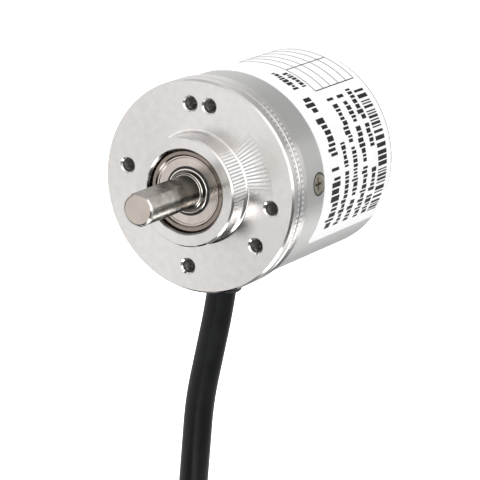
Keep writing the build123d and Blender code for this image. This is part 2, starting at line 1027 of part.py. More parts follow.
def make_ties():
    """Cable ties round the bundle of turns, each with its square head outside."""
    inner_width = 2 * (coil_half_width + tie_gap)
    inner_height = 2 * (coil_half_height + tie_gap)
    outer = RectangleRounded(
        inner_width + 2 * tie_thickness,
        inner_height + 2 * tie_thickness,
        coil_corner_radius + tie_thickness,
    )
    inner = RectangleRounded(inner_width, inner_height, coil_corner_radius)
    ties = []
    for angle in tie_angles:
        centre = coil_place(angle)
        outward = centre - Vector(0, coil_centre_y, coil_centre_z)
        plane = Plane(origin=centre, x_dir=(1, 0, 0), z_dir=Vector(1, 0, 0).cross(outward))
        band = extrude(plane * (outer - inner), amount=tie_width / 2, both=True)
        head_low = coil_half_height + tie_gap + tie_thickness / 2
        head_plane = Plane(origin=coil_place(angle, coil_radius + head_low), z_dir=outward)
        head = extrude(head_plane * Rectangle(tie_head, tie_head), amount=tie_head_height)
        ties.append(band + head)
    return ties


def tail_frame():
    """End plane of the cable's tail, its z axis along the tail."""
    last = Vector(*tail_route[-1])
    return Plane(origin=last, z_dir=last - Vector(*tail_route[-2]))


def make_jacket_sleeve():
    """Shrunk sleeve over the end of the jacket."""
    frame = tail_frame()
    ring = Circle(sleeve_radius) - Circle(cable_radius + sleeve_bore_gap)
    closed = extrude(frame * Circle(sleeve_radius), amount=sleeve_tip)
    return extrude(frame * ring, amount=-sleeve_overlap) + closed


def lead_lines():
    """Start and end of each free core, spread in a ring about the tail."""
    frame = tail_frame()
    lines = []
    for index in range(lead_count):
        turn = 2 * math.pi * index / lead_count
        near = Vector(math.cos(turn), math.sin(turn)) * lead_ring_radius
        far = near * lead_splay
        first = frame.from_local_coords(Vector(near.X, near.Y, sleeve_tip + lead_end_gap))
        last = frame.from_local_coords(Vector(far.X, far.Y, sleeve_tip + lead_length))
        lines.append((first, last))
    return lines


def stick(first, last, radius):
    plane = Plane(origin=first, z_dir=last - first)
    return extrude(plane * Circle(radius), amount=(last - first).length)


def make_leads():
    return [stick(first, last, lead_radius) for first, last in lead_lines()]


def make_ferrules():
    """Bare crimped ends of the free cores."""
    ferrules = []
    for first, last in lead_lines():
        along = (last - first).normalized()
        ferrules.append(stick(last, last + along * ferrule_length, ferrule_radius))
    return ferrules


def is_radial(edge):
    """True for the label's short corner edges, which run through its thickness."""
    return abs(edge.length - label_thickness) < label_thickness / 2


def make_label():
    """Thin sheet wrapped round the can with rounded corners."""
    span = label_last_angle - label_first_angle
    profile = Polyline(
        (can_radius, label_front),
        (can_radius + label_thickness, label_front),
        (can_radius + label_thickness, label_rear),
        (can_radius, label_rear),
        close=True,
    )
    sheet = revolve(make_face(profile), Axis.Y, revolution_arc=span)
    sheet = sheet.rotate(Axis.Y, label_first_angle - 90)
    corners = [edge for edge in sheet.edges().filter_by(GeomType.LINE) if is_radial(edge)]
    return fillet(corners, label_corner_radius)


def make_bearing(name, start):
    parts[name + "_outer_ring"] = make_outer_ring(start)
    parts[name + "_inner_ring"] = make_inner_ring(start)
    parts[name + "_shields"] = make_shields(start)
    parts[name + "_balls"] = make_balls(start)
    parts[name + "_cage"] = make_cage(start)


parts["flange"] = make_flange()
parts["housing_can"] = make_can()
parts["housing_screws"] = make_housing_screws()
parts["seal_ring"] = make_seal()
parts["shaft"] = make_shaft()
make_bearing("front_bearing", front_bearing_start)
make_bearing("rear_bearing", rear_bearing_start)
parts["preload_washer"] = make_preload_washer()
parts["disc_hub"] = make_disc_hub()
parts["hub_grub_screws"] = make_grub_screws()
parts["code_disc"] = make_code_disc()
parts["disc_clamp"] = make_disc_clamp()
parts["emitter_block"] = make_emitter_block()
parts["emitter_lamp"] = make_emitter_lamp()
parts["emitter_screws"] = make_emitter_screws()
parts["emitter_strip"] = make_emitter_strip()
parts["reticle"] = make_reticle()
parts["optical_sensor"] = make_sensor()
parts["sensor_board"] = make_sensor_board()
parts["sensor_board_chips"] = make_sensor_board_chips()
parts["board_pillars"] = make_pillars()
parts["board_link"] = make_board_link()
parts["board_spacers"] = make_board_spacers()
parts["interface_board"] = make_interface_board()
parts["interface_board_chips"] = make_interface_board_chips()
parts["capacitor"] = make_capacitor()
parts["board_screws"] = make_board_screws()
parts["cable_socket"] = make_cable_socket()
parts["cable_plug"] = make_cable_plug()
parts["inner_cores"] = make_inner_cores()
parts["inner_harness"] = make_inner_harness()
parts["insulator_disc"] = make_insulator()
parts["cable_grommet"] = make_grommet()
parts["cable_crimp"] = make_cable_crimp()
parts["label"] = make_label()
parts["cable"] = make_cord("cable", cable_route)
parts["cable_coil"] = make_coil()
parts["cable_tail"] = make_cord("cable_tail", tail_route)
parts["cable_ties"] = make_ties()
parts["jacket_sleeve"] = make_jacket_sleeve()
parts["lead_cores"] = make_leads()
parts["lead_ferrules"] = make_ferrules()

os.makedirs("parts", exist_ok=True)
for name, part in parts.items():
    shape = Compound(children=part) if isinstance(part, list) else part
    export_step(shape, os.path.join("parts", name + ".step"))
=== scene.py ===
import logging
import math
import random
from dataclasses import dataclass
from enum import Enum
from typing import ClassVar

import bpy
from mathutils import Matrix, Vector


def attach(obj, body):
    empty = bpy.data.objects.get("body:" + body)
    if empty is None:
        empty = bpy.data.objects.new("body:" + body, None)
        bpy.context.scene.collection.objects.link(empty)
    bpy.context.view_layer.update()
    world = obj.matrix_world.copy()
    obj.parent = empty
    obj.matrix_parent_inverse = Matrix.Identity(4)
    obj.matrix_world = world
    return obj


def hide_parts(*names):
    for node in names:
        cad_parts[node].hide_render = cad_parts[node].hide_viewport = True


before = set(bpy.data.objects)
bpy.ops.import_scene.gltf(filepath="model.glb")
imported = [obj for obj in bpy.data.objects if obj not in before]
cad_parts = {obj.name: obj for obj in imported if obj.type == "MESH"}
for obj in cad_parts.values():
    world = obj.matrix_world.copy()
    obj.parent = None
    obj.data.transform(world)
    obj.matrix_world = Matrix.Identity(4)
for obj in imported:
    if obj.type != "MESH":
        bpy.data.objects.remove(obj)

# A small shaft encoder with a face-mount flange, a flatted shaft and a hanging cable.
# Places and sizes below are in millimetres in the frame of the construction model, with the
# shaft axis along Y, the shaft pointing to -Y and the cable leaving towards -Z.
# Angles round the shaft start at +Z and grow towards +X.

LOG = logging.getLogger("encoder")
MM = 0.001
FULL_TURN = 360.0
SKIN_SMOOTH_BELOW = 60.0
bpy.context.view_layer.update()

Tree = bpy.types.NodeTree
Node = bpy.types.Node
Socket = bpy.types.NodeSocket
Piece = bpy.types.Object
Spot = tuple[float, float, float]
Span = tuple[float, float]


class Body(Enum):
    """Bodies of the construction model that new pieces ride on."""

    HOUSING = "housing"
    ROTOR = "rotor"


def linear(colour: str) -> tuple[float, float, float, float]:
    """Turns an sRGB hex colour into linear values, by the numbers of the sRGB curve.

    Args:
        colour: A colour such as "#d8d5d2".

    Returns:
        Linear red, green, blue and an alpha of one.
    """
    parts = [int(colour[place : place + 2], 16) / 255 for place in (1, 3, 5)]
    values = [part / 12.92 if part <= 0.04045 else ((part + 0.055) / 1.055) ** 2.4 for part in parts]
    return (values[0], values[1], values[2], 1.0)


def add_node(
    tree: Tree, kind: str, settings: dict | None = None, links: dict | None = None
) -> Node:
    """Adds one shader node with its settings and links.

    A mix node has its factor at socket 0, its numbers at 2 and 3 and its colours at 6 and 7.

    Args:
        tree: The node tree that gets the node.
        kind: Blender's name for the node type.
        settings: Node properties by name, and input values by socket name or number.
        links: Output sockets by the name or number of the input that each one feeds.

    Returns:
        The new node.
    """
    node = tree.nodes.new(kind)
    for name, value in (settings or {}).items():
        if isinstance(name, str) and hasattr(node, name):
            setattr(node, name, value)
        else:
            node.inputs[name].default_value = value
    for name, output in (links or {}).items():
        tree.links.new(output, node.inputs[name])
    return node


def polar(radius: float, angle: float, place: float) -> Vector:
    """Gives a point round the shaft axis.

    Args:
        radius: Distance from the axis in millimetres.
        angle: Degrees from +Z towards +X.
        place: Position along Y in millimetres.

    Returns:
        The point in metres.
    """
    turn = math.radians(angle)
    return Vector((radius * math.sin(turn), place, radius * math.cos(turn))) * MM


def new_mesh(name: str, points: list, faces: list, smooth_below: float = 30.0) -> Piece:
    """Makes a mesh object from points in metres.

    Args:
        name: The piece's name.
        points: Corner positions in metres.
        faces: Tuples of point numbers.
        smooth_below: Edges with a turn under this many degrees are shaded smooth.

    Returns:
        The linked object.
    """
    mesh = bpy.data.meshes.new(name)
    mesh.from_pydata([tuple(point) for point in points], [], faces)
    mesh.validate()
    mesh.shade_smooth()
    mesh.set_sharp_from_angle(angle=math.radians(smooth_below))
    piece = bpy.data.objects.new(name, mesh)
    bpy.context.scene.collection.objects.link(piece)
    return piece


def row_faces(rows: int, across: int, closed: bool = False, base: int = 0) -> list[tuple]:
    """Gives the faces that join rows of points.

    Args:
        rows: Number of rows.
        across: Points in each row.
        closed: Whether the last row joins the first.
        base: Number of the first point.

    Returns:
        Tuples of four point numbers.
    """
    faces = []
    for row in range(rows if closed else rows - 1):
        for part in range(across - 1):
            here = base + across * row + part
            beside = base + across * ((row + 1) % rows) + part
            faces.append((here, here + 1, beside + 1, beside))
    return faces


def lathe(name: str, profile: list[Span], span: Span = (0.0, FULL_TURN)) -> Piece:
    """Makes a thin turned skin by revolving an open profile round the shaft axis.

    Args:
        name: The piece's name.
        profile: Radius and place along Y in millimetres, from end to end.
        span: First and last angle; a whole turn is closed.

    Returns:
        The linked object.
    """
    step = 2.5
    count = round((span[1] - span[0]) / step)
    closed = span[1] - span[0] == FULL_TURN
    rows = count if closed else count + 1
    points = []
    for index in range(rows):
        angle = span[0] + (span[1] - span[0]) * index / count
        points += [polar(radius, angle, place) for radius, place in profile]
    return new_mesh(name, points, row_faces(rows, len(profile), closed), SKIN_SMOOTH_BELOW)


def new_cord(name: str, route: list[Spot], radius: float, sides: int = 8) -> Piece:
    """Makes a round cord along a smooth curve.

    Args:
        name: The piece's name.
        route: Control points in millimetres.
        radius: Radius of the cord in millimetres.
        sides: Bevel resolution of the round section.

    Returns:
        The linked curve object.
    """
    steps_between_points = 12
    curve = bpy.data.curves.new(name, "CURVE")
    curve.dimensions = "3D"
    curve.bevel_depth = radius * MM
    curve.bevel_resolution = sides
    curve.use_fill_caps = True
    curve.resolution_u = steps_between_points
    spline = curve.splines.new("NURBS")
    spline.points.add(len(route) - 1)
    for point, place in zip(spline.points, route):
        point.co = (place[0] * MM, place[1] * MM, place[2] * MM, 1.0)
    spline.order_u = 3
    spline.use_endpoint_u = True
    piece = bpy.data.objects.new(name, curve)
    bpy.context.scene.collection.objects.link(piece)
    return piece


@dataclass
class Draft:
    """A material in the making: its node tree, its surface shader and the place on the piece."""

    tree: Tree
    shader: Node
    place: Socket

    def feed(self, name: str, value: Socket) -> None:
        """Feeds a value into one input of the shader."""
        self.tree.links.new(value, self.shader.inputs[name])

    def fed(self, name: str) -> Socket:
        """Gives the value that feeds one input of the shader so far."""
        return self.shader.inputs[name].links[0].from_socket

    def noise(self, size: float, detail: float = 3.0, place: Socket | None = None) -> Socket:
        """Gives a cloudy pattern from 0 to 1.

        Args:
            size: Size of one cloud in millimetres.
            detail: How many finer layers it has.
            place: Coordinates in metres, those of the piece when left out.

        Returns:
            The pattern's value.
        """
        settings = {"Scale": 1 / (size * MM), "Detail": detail, "Roughness": 0.55}
        links = {"Vector": self.place if place is None else place}
        return add_node(self.tree, "ShaderNodeTexNoise", settings, links).outputs[0]

    def raise_surface(self, *layers: tuple[Socket, float]) -> None:
        """Stacks bump layers on the surface.

        Args:
            layers: Each layer's pattern and its height in millimetres.
        """
        below = None
        for pattern, height in layers:
            links = {"Height": pattern}
            if below:
                links["Normal"] = below
            settings = {"Distance": height * MM, "Strength": 1.0}
            below = add_node(self.tree, "ShaderNodeBump", settings, links).outputs[0]
        self.feed("Normal", below)

    def draw_out(self, amount: float) -> None:
        """Draws the highlight out across rings or lines round the shaft axis.

        Args:
            amount: How far it is drawn out, from 0 to 1.
        """
        quarter_turn = 0.25
        self.shader.inputs["Anisotropic"].default_value = amount
        self.shader.inputs["Anisotropic Rotation"].default_value = quarter_turn
        radial = {"direction_type": "RADIAL", "axis": "Y"}
        self.feed("Tangent", add_node(self.tree, "ShaderNodeTangent", radial).outputs[0])

    def round_axis(self) -> tuple[Socket, Socket]:
        """Measures the place from the shaft axis.

        Returns:
            The distance from the axis and the place along it, in metres.
        """
        split = add_node(self.tree, "ShaderNodeSeparateXYZ", links={0: self.place}).outputs
        across = {0: split[0], 1: split[2]}
        flat = add_node(self.tree, "ShaderNodeCombineXYZ", links=across).outputs[0]
        length = {"operation": "LENGTH"}
        radius = add_node(self.tree, "ShaderNodeVectorMath", length, {0: flat})
        return radius.outputs["Value"], split[1]

    def turn_round(self) -> Socket:
        """Measures how far the place lies round the shaft axis.

        Returns:
            The angle in radians, from +Z towards +X.
        """
        split = add_node(self.tree, "ShaderNodeSeparateXYZ", links={0: self.place}).outputs
        turned = {0: split[0], 1: split[2]}
        return add_node(self.tree, "ShaderNodeMath", {"operation": "ARCTAN2"}, turned).outputs[0]

    def near(self, value: Socket, middle: float, outer: float, inner: float = 0.0) -> Socket:
        """Picks out a stretch of a value, with soft ends.

        Args:
            value: The value, such as an angle or a place.
            middle: The middle of the stretch.
            outer: Distance from the middle where nothing is left of it.
            inner: Distance up to which it is whole; without one it rises to a soft peak.

        Returns:
            One inside the stretch and nought outside it.
        """
        offset = {"operation": "SUBTRACT", 1: middle}
        aside = add_node(self.tree, "ShaderNodeMath", offset, {0: value}).outputs[0]
        away = add_node(self.tree, "ShaderNodeMath", {"operation": "ABSOLUTE"}, {0: aside})
        fall = {"From Min": outer, "From Max": inner}
        fall["interpolation_type"] = "LINEAR" if inner else "SMOOTHSTEP"
        return add_node(self.tree, "ShaderNodeMapRange", fall, {"Value": away.outputs[0]}).outputs[0]

    def overlap(self, *masks: Socket) -> Socket:
        """Multiplies masks.

        Args:
            masks: Values from 0 to 1.

        Returns:
            One where all of them are one.
        """
        share = masks[0]
        for mask in masks[1:]:
            both = {0: share, 1: mask}
            share = add_node(self.tree, "ShaderNodeMath", {"operation": "MULTIPLY"}, both).outputs[0]
        return share

    def paint(self, film: str, *masks: Socket) -> None:
        """Lays a film of one colour over the surface.

        Args:
            film: The film's colour.
            masks: Values from 0 to 1; it lies where all of them are one.
        """
        mix = {"data_type": "RGBA", 7: linear(film)}
        links = {0: self.overlap(*masks), 6: self.fed("Base Color")}
        self.feed("Base Color", add_node(self.tree, "ShaderNodeMix", mix, links).outputs[2])


@dataclass(frozen=True)
class Finish:
    """A surface finish: one real material and how its surface was made.

    Subclasses add the marks that the making leaves. Colours are sRGB hex, sizes millimetres.
    """

    name: str
    colour: str
    shade: str
    roughness: float
    metallic: float = 0.0
    ior: float = 1.5
    grain: float = 0.5
    relief: float = 0.002

    def material(self) -> bpy.types.Material:
        """Builds the material once and reuses it.

        Returns:
            The finished material.
        """
        found = bpy.data.materials.get(self.name)
        if found:
            return found
        material = bpy.data.materials.new(self.name)
        material.use_nodes = True
        tree = material.node_tree
        tree.nodes.clear()
        place = add_node(tree, "ShaderNodeTexCoord").outputs["Object"]
        settings = {"Metallic": self.metallic, "Roughness": self.roughness}
        if not self.metallic:
            settings["IOR"] = self.ior
        shader = add_node(tree, "ShaderNodeBsdfPrincipled", settings)
        self.dress(Draft(tree, shader, place))
        add_node(tree, "ShaderNodeOutputMaterial", links={"Surface": shader.outputs[0]})
        return material

    def dress(self, draft: Draft) -> None:
        """Adds a fine uneven grain to colour, roughness and relief.

        Args:
            draft: The material in the making.
        """
        grain = draft.noise(self.grain)
        self.blend_colour(draft, grain, low=0.35)
        self.blend_roughness(draft, grain, spread=0.06)
        draft.raise_surface((grain, self.relief))

    def blend_colour(self, draft: Draft, pattern: Socket, low: float) -> None:
        """Mixes the finish's two colours by a pattern.

        Args:
            draft: The material in the making.
            pattern: Values from 0 to 1.
            low: Value below which only the shade shows; the colour is whole as far above.
        """
        ramp = add_node(draft.tree, "ShaderNodeValToRGB", links={0: pattern})
        ends = ramp.color_ramp.elements
        ends[0].position = low
        ends[0].color = linear(self.shade)
        ends[1].position = 1 - low
        ends[1].color = linear(self.colour)
        draft.feed("Base Color", ramp.outputs[0])

    def blend_roughness(self, draft: Draft, pattern: Socket, spread: float) -> None:
        """Lets the roughness wander by a pattern.

        Args:
            draft: The material in the making.
            pattern: Values from 0 to 1.
            spread: How far it goes either side of its middle.
        """
        settings = {"To Min": self.roughness - spread, "To Max": self.roughness + spread}
        wander = add_node(draft.tree, "ShaderNodeMapRange", settings, {"Value": pattern})
        draft.feed("Roughness", wander.outputs[0])


@dataclass(frozen=True)
class TurnedMetal(Finish):
    """Metal turned on a lathe, with feed rings and a highlight drawn out across them."""

    feed: float = 0.35
    spread_along: float = 0.7

    def dress(self, draft: Draft) -> None:
        """Adds rings of the tool's feed over slow clouds.

        Args:
            draft: The material in the making.
        """
        radius, along = draft.round_axis()
        ring_place = add_node(draft.tree, "ShaderNodeCombineXYZ", links={0: radius, 1: along})
        # The real feed of about 0.08 mm is too fine to show, so the rings are drawn coarser.
        rings = draft.noise(self.feed, detail=4.0, place=ring_place.outputs[0])
        clouds = draft.noise(size=1.4, detail=5.0)
        self.blend_colour(draft, clouds, low=0.35)
        self.blend_roughness(draft, clouds, spread=0.05)
        draft.raise_surface((rings, self.relief))
        draft.draw_out(self.spread_along)


@dataclass(frozen=True)
class RibsWithPaintedHighlights(TurnedMetal):
    """Turned metal with chatter ribs: painted highlights on their crests and painted shade in the
    dull metal between.
    """

    # The crest colour is a painted highlight and the valley colour is painted shade.
    painted_crest_highlight: str = "#ffffff"
    painted_valley_shade: str = "#9d9b9a"
    least_metallic: float = 0.35
    step: float = 3.1
    start: float = 0.34
    span: Span = (34.0, 81.0)
    soft: float = 12.0
    fade: Span = (15.2, 12.2)

    def dress(self, draft: Draft) -> None:
        """Adds the turned surface, then painted highlights on the crests and painted shade in the
        valleys along the ribs.

        Args:
            draft: The material in the making.
        """
        super().dress(draft)
        tree = draft.tree
        angle = draft.turn_round()
        shift = -self.start * 2 * math.pi
        count = {"operation": "MULTIPLY_ADD", 1: FULL_TURN / self.step, 2: shift}
        phase = add_node(tree, "ShaderNodeMath", count, {0: angle}).outputs[0]
        wave = add_node(tree, "ShaderNodeMath", {"operation": "COSINE"}, {0: phase}).outputs[0]
        # Crests are wider than valleys: the painted highlight reaches white well below the top of the
        # wave.
        shape = {"From Min": -0.9, "From Max": 0.2}
        painted_crest_highlight = add_node(tree, "ShaderNodeMapRange", shape, {"Value": wave}).outputs[0]
        ends = {7: linear(self.painted_crest_highlight), 6: linear(self.painted_valley_shade), "data_type": "RGBA"}
        ribs = add_node(tree, "ShaderNodeMix", ends, {0: painted_crest_highlight}).outputs[2]
        first, last = math.radians(self.span[0]), math.radians(self.span[1])
        soft = math.radians(self.soft)
        edges = (
            ({"From Min": first, "From Max": first + soft}, angle),
            ({"From Min": last, "From Max": last - soft}, angle),
            ({"From Min": self.fade[0] * MM, "From Max": self.fade[1] * MM}, draft.round_axis()[0]),
        )
        masks = [
            add_node(tree, "ShaderNodeMapRange", edge, {"Value": value}).outputs[0]
            for edge, value in edges
        ]
        mask = draft.overlap(*masks)
        links = {0: mask, 6: draft.fed("Base Color"), 7: ribs}
        mixed = add_node(tree, "ShaderNodeMix", {"data_type": "RGBA"}, links)
        draft.feed("Base Color", mixed.outputs[2])
        # The metal is made less metallic under the painted ribs, so the painted highlights read white
        # from every side.
        highlight_metallic = {"To Min": 1.0, "To Max": self.least_metallic}
        metal = add_node(tree, "ShaderNodeMapRange", highlight_metallic, {"Value": mask})
        draft.feed("Metallic", metal.outputs[0])


@dataclass(frozen=True)
class ShaftWithPaintedShade(TurnedMetal):
    """Ground shaft with painted shade by the bearing, left out in a band low down, and a paler tip.
    """

    bearing_painted_shade: str = "#575651"
    faced: str = "#cabfb6"
    bearing_shade_place: Span = (-11.4, -6.5)
    tip_place: float = -20.2
    unshaded_angle: float = 103.0
    unshaded_reach: float = 17.0

    def dress(self, draft: Draft) -> None:
        """Adds the ground surface, then paints shade along the shaft by the bearing and a paler
        colour at the tip.

        Args:
            draft: The material in the making.
        """
        super().dress(draft)
        along = draft.round_axis()[1]
        # Painted shade by the bearing, left out low down where the line of light along the shaft
        # runs.
        reach = {"From Min": self.bearing_shade_place[0] * MM, "From Max": self.bearing_shade_place[1] * MM}
        shade_along = add_node(draft.tree, "ShaderNodeMapRange", reach, {"Value": along}).outputs[0]
        middle, aside = math.radians(self.unshaded_angle), math.radians(self.unshaded_reach)
        unshaded = draft.near(draft.turn_round(), middle, aside)
        left = {"operation": "SUBTRACT", "use_clamp": True}
        film = add_node(draft.tree, "ShaderNodeMath", left, {0: shade_along, 1: unshaded}).outputs[0]
        draft.paint(self.bearing_painted_shade, film)
        at_tip = {"operation": "LESS_THAN", 1: self.tip_place * MM}
        tip = add_node(draft.tree, "ShaderNodeMath", at_tip, {0: along}).outputs[0]
        draft.paint(self.faced, tip)


@dataclass(frozen=True)
class PaintedReflection:
    """A dark mark on the mounting face, outwards from the collar's foot: a painted reflection of the
    collar.
    """

    angle: float
    reach: float
    end: float
    strength: float


@dataclass(frozen=True)
class FlangeMetal(TurnedMetal):
    """Turned flange: satin faces, smoother sides, painted shade in the bearing recess and by the
    seam, and painted dark reflections of the collar on the face.
    """

    face_roughness: float = 0.24
    recess_painted_shade: str = "#7a7572"
    recess_shade_radii: Span = (7.3, 7.72)
    recess_shade_places: Span = (-4.72, -3.0)
    painted_reflection_colour: str = "#8b8988"
    painted_reflections: tuple[PaintedReflection, ...] = (PaintedReflection(86.5, 5.0, 15.6, 0.75), PaintedReflection(116.0, 14.0, 13.6, 0.85))
    painted_reflection_start: float = 10.4
    collar_foot: Span = (-2.0, -1.0)
    seam_painted_shade: str = "#1d1c1c"
    seam_shade_angle: float = 121.0
    seam_shade_reach: float = 25.0
    seam_shade_places: Span = (3.0, 5.1)

    def dress(self, draft: Draft) -> None:
        """Adds the turned surface, then sets faces apart and paints shade in the recess, dark
        reflections on the face and shade by the seam.

        Args:
            draft: The material in the making.
        """
        super().dress(draft)
        tree = draft.tree
        normal = add_node(tree, "ShaderNodeTexCoord").outputs["Normal"]
        axis = {"operation": "DOT_PRODUCT", 1: (0.0, 1.0, 0.0)}
        facing = add_node(tree, "ShaderNodeVectorMath", axis, {0: normal}).outputs["Value"]
        flat = add_node(tree, "ShaderNodeMath", {"operation": "ABSOLUTE"}, {0: facing}).outputs[0]
        # A surface counts as a face once it looks nearly straight along the shaft.
        steps = {"From Min": 0.85, "From Max": 0.98}
        face = add_node(tree, "ShaderNodeMapRange", steps, {"Value": flat}).outputs[0]
        blend = {"data_type": "FLOAT", 3: self.face_roughness}
        rough = add_node(tree, "ShaderNodeMix", blend, {0: face, 2: draft.fed("Roughness")})
        draft.feed("Roughness", rough.outputs[0])
        radius, along = draft.round_axis()
        # Painted shade on the wall of the bearing recess, beside the outer ring.
        beside = self.within(draft, radius, self.recess_shade_radii)
        inside = self.within(draft, along, self.recess_shade_places)
        draft.paint(self.recess_painted_shade, beside, inside)
        angle = draft.turn_round()
        # The painted reflections lie on the mounting face only, not on the collar's front.
        foot = {"From Min": self.collar_foot[0] * MM, "From Max": self.collar_foot[1] * MM}
        behind = add_node(tree, "ShaderNodeMapRange", foot, {"Value": along}).outputs[0]
        for dark_reflection in self.painted_reflections:
            mask = draft.near(angle, math.radians(dark_reflection.angle), math.radians(dark_reflection.reach))
            fall = {"From Min": dark_reflection.end * MM, "From Max": self.painted_reflection_start * MM}
            fall["To Max"] = dark_reflection.strength
            out = add_node(tree, "ShaderNodeMapRange", fall, {"Value": radius}).outputs[0]
            draft.paint(self.painted_reflection_colour, mask, out, face, behind)
        # Painted shade on the rim's rear, by the seam with the can.
        stretch = draft.near(angle, math.radians(self.seam_shade_angle), math.radians(self.seam_shade_reach))
        draft.paint(self.seam_painted_shade, stretch, self.within(draft, along, self.seam_shade_places))

    def within(self, draft: Draft, value: Socket, span: Span) -> Socket:
        """Picks out a span of a length, with narrow soft ends.

        Args:
            draft: The material in the making.
            value: A length in metres.
            span: First and last length in millimetres.

        Returns:
            One inside the span and nought outside it.
        """
        soft_outside, soft_inside = 0.13, 0.02
        half = (span[1] - span[0]) / 2
        outer, inner = (half + soft_outside) * MM, (half - soft_inside) * MM
        return draft.near(value, (span[0] + span[1]) / 2 * MM, outer, inner)


@dataclass(frozen=True)
class GroundMetal(Finish):
    """Metal ground or rolled in one direction, with fine lines along the axis or round it."""

    line: Spot = (0.1, 4.0, 0.1)
    spread_along: float = 0.4

    def dress(self, draft: Draft) -> None:
        """Stretches the grain into lines of the given size along X, Y and Z.

        Args:
            draft: The material in the making.
        """
        # Real grinding lines are finer than a tenth of a millimetre; these are coarse enough to show.
        scale = {"Scale": tuple(1 / size for size in self.line)}
        stretch = add_node(draft.tree, "ShaderNodeMapping", scale, {"Vector": draft.place})
        settings = {"Scale": 1 / MM, "Detail": 3.0}
        links = {"Vector": stretch.outputs[0]}
        lines = add_node(draft.tree, "ShaderNodeTexNoise", settings, links).outputs[0]
        self.blend_colour(draft, lines, low=0.3)
        self.blend_roughness(draft, lines, spread=0.05)
        draft.raise_surface((lines, self.relief))
        draft.draw_out(self.spread_along)


@dataclass(frozen=True)
class BlastedMetal(Finish):
    """Metal blasted with fine beads: even, matte and softly pitted."""

    pit: float = 0.22

    def dress(self, draft: Draft) -> None:
        """Adds bead pits and a cloudy unevenness from the blasting.

        Args:
            draft: The material in the making.
        """
        # Real bead pits are about half this size, too fine to show.
        size = {"Scale": 1 / (self.pit * MM)}
        pits = add_node(draft.tree, "ShaderNodeTexVoronoi", size, {"Vector": draft.place})
        clouds = draft.noise(size=3.5, detail=4.0)
        self.blend_colour(draft, clouds, low=0.25)
        self.blend_roughness(draft, clouds, spread=0.05)
        draft.raise_surface((pits.outputs["Distance"], self.relief))


@dataclass(frozen=True)
class MouldedPlastic(Finish):
    """Plastic or rubber with the faint unevenness of its mould or die."""

    coat: float = 0.0

    def dress(self, draft: Draft) -> None:
        """Adds the skin's fine texture over slow swells in its surface.

        Args:
            draft: The material in the making.
        """
        swell_size, swell_height = self.grain * 12, self.relief * 3
        fine = draft.noise(self.grain)
        slow = draft.noise(swell_size, detail=2.0)
        self.blend_colour(draft, slow, low=0.3)
        self.blend_roughness(draft, slow, spread=0.07)
        draft.raise_surface((slow, swell_height), (fine, self.relief))
        draft.shader.inputs["Coat Weight"].default_value = self.coat


@dataclass(frozen=True)
class BoardLaminate(Finish):
    """Circuit board of glass cloth and resin under a solder mask."""

    weave: float = 0.5

    def dress(self, draft: Draft) -> None:
        """Shows the woven cloth faintly and the paler copper areas under the mask.

        Args:
            draft: The material in the making.
        """
        threads_per_brick = 4
        threads = {
            "Scale": 1 / (self.weave * threads_per_brick * MM),
            "Color1": (0.6, 0.6, 0.6, 1.0),
            "Color2": (0.75, 0.75, 0.75, 1.0),
            "Mortar": (0.4, 0.4, 0.4, 1.0),
            "Mortar Size": 0.03,
        }
        cloth = add_node(draft.tree, "ShaderNodeTexBrick", threads, {"Vector": draft.place})
        copper = draft.noise(size=4.0, detail=0.0)
        self.blend_colour(draft, copper, low=0.48)
        draft.raise_surface((cloth.outputs[0], self.relief))


@dataclass(frozen=True)
class ClearGlass(Finish):
    """Clear glass or resin that light passes through."""

    clearness: float = 0.9

    def dress(self, draft: Draft) -> None:
        """Lets light through and leaves a faint polish on the surface.

        Args:
            draft: The material in the making.
        """
        haze = draft.noise(self.grain, detail=2.0)
        draft.shader.inputs["Base Color"].default_value = linear(self.colour)
        draft.shader.inputs["Transmission Weight"].default_value = self.clearness
        self.blend_roughness(draft, haze, spread=0.02)
        draft.raise_surface((haze, self.relief))


# Each finish below gives its name, colour, shade and roughness, and 1.0 for a metal.

# Turned 6061 aluminium: bright and pale, drawn-out highlights across the tool's rings.
# Its finish also paints shade in the bearing recess and by the seam, and dark reflections on the
# face.
TURNED_ALUMINIUM = FlangeMetal(
    "turned_aluminium", "#e8e5e3", "#e2dfdd", 0.17, 1.0, feed=0.16, relief=0.0003, spread_along=0.78
)
# The same metal where the tool chattered: painted highlights on the crests and painted shade in the
# valleys, so they read as ribs.
RIBBED_SIDE = RibsWithPaintedHighlights(
    "ribbed_side_painted_highlights", "#eeebe9", "#e4e1df", 0.14, 1.0, feed=0.16, spread_along=0.8,
    painted_valley_shade="#a9a7a6", step=3.6, span=(32.0, 90.0), fade=(30.0, 29.0),
)
RIBBED_RIM = RibsWithPaintedHighlights(
    "ribbed_rim_painted_highlights", "#eeebe9", "#e4e1df", 0.12, 1.0, feed=0.16, spread_along=0.8,
    painted_valley_shade="#d0cecd", least_metallic=0.9, step=2.9, span=(22.0, 112.0), fade=(30.0, 29.0),
)
RIBBED_FACE = RibsWithPaintedHighlights(
    "ribbed_face_painted_highlights", "#e8e5e3", "#e2dfdd", 0.24, 1.0, feed=0.16, relief=0.0003, spread_along=0.78
)
# The fillet at the collar's foot: rubbed smoother by the tool's nose, so it draws a bright line.
RUBBED_ALUMINIUM = TurnedMetal(
    "rubbed_aluminium", "#eeebe9", "#e4e1df", 0.12, 1.0, feed=0.16, spread_along=0.8
)
# Threads in the tapped holes, coloured darker than the face: painted shade inside the holes.
TAPPED_ALUMINIUM = Finish("tapped_aluminium_painted_shade", "#b3b1af", "#9d9b99", 0.3, 1.0, relief=0.001)
# A dark ring at the edge of each countersink: painted shadow round the screw head.
COUNTERSINK_PAINTED_SHADOW = Finish("countersink_painted_shadow", "#4b4947", "#3b3937", 0.5, 1.0, relief=0.001)
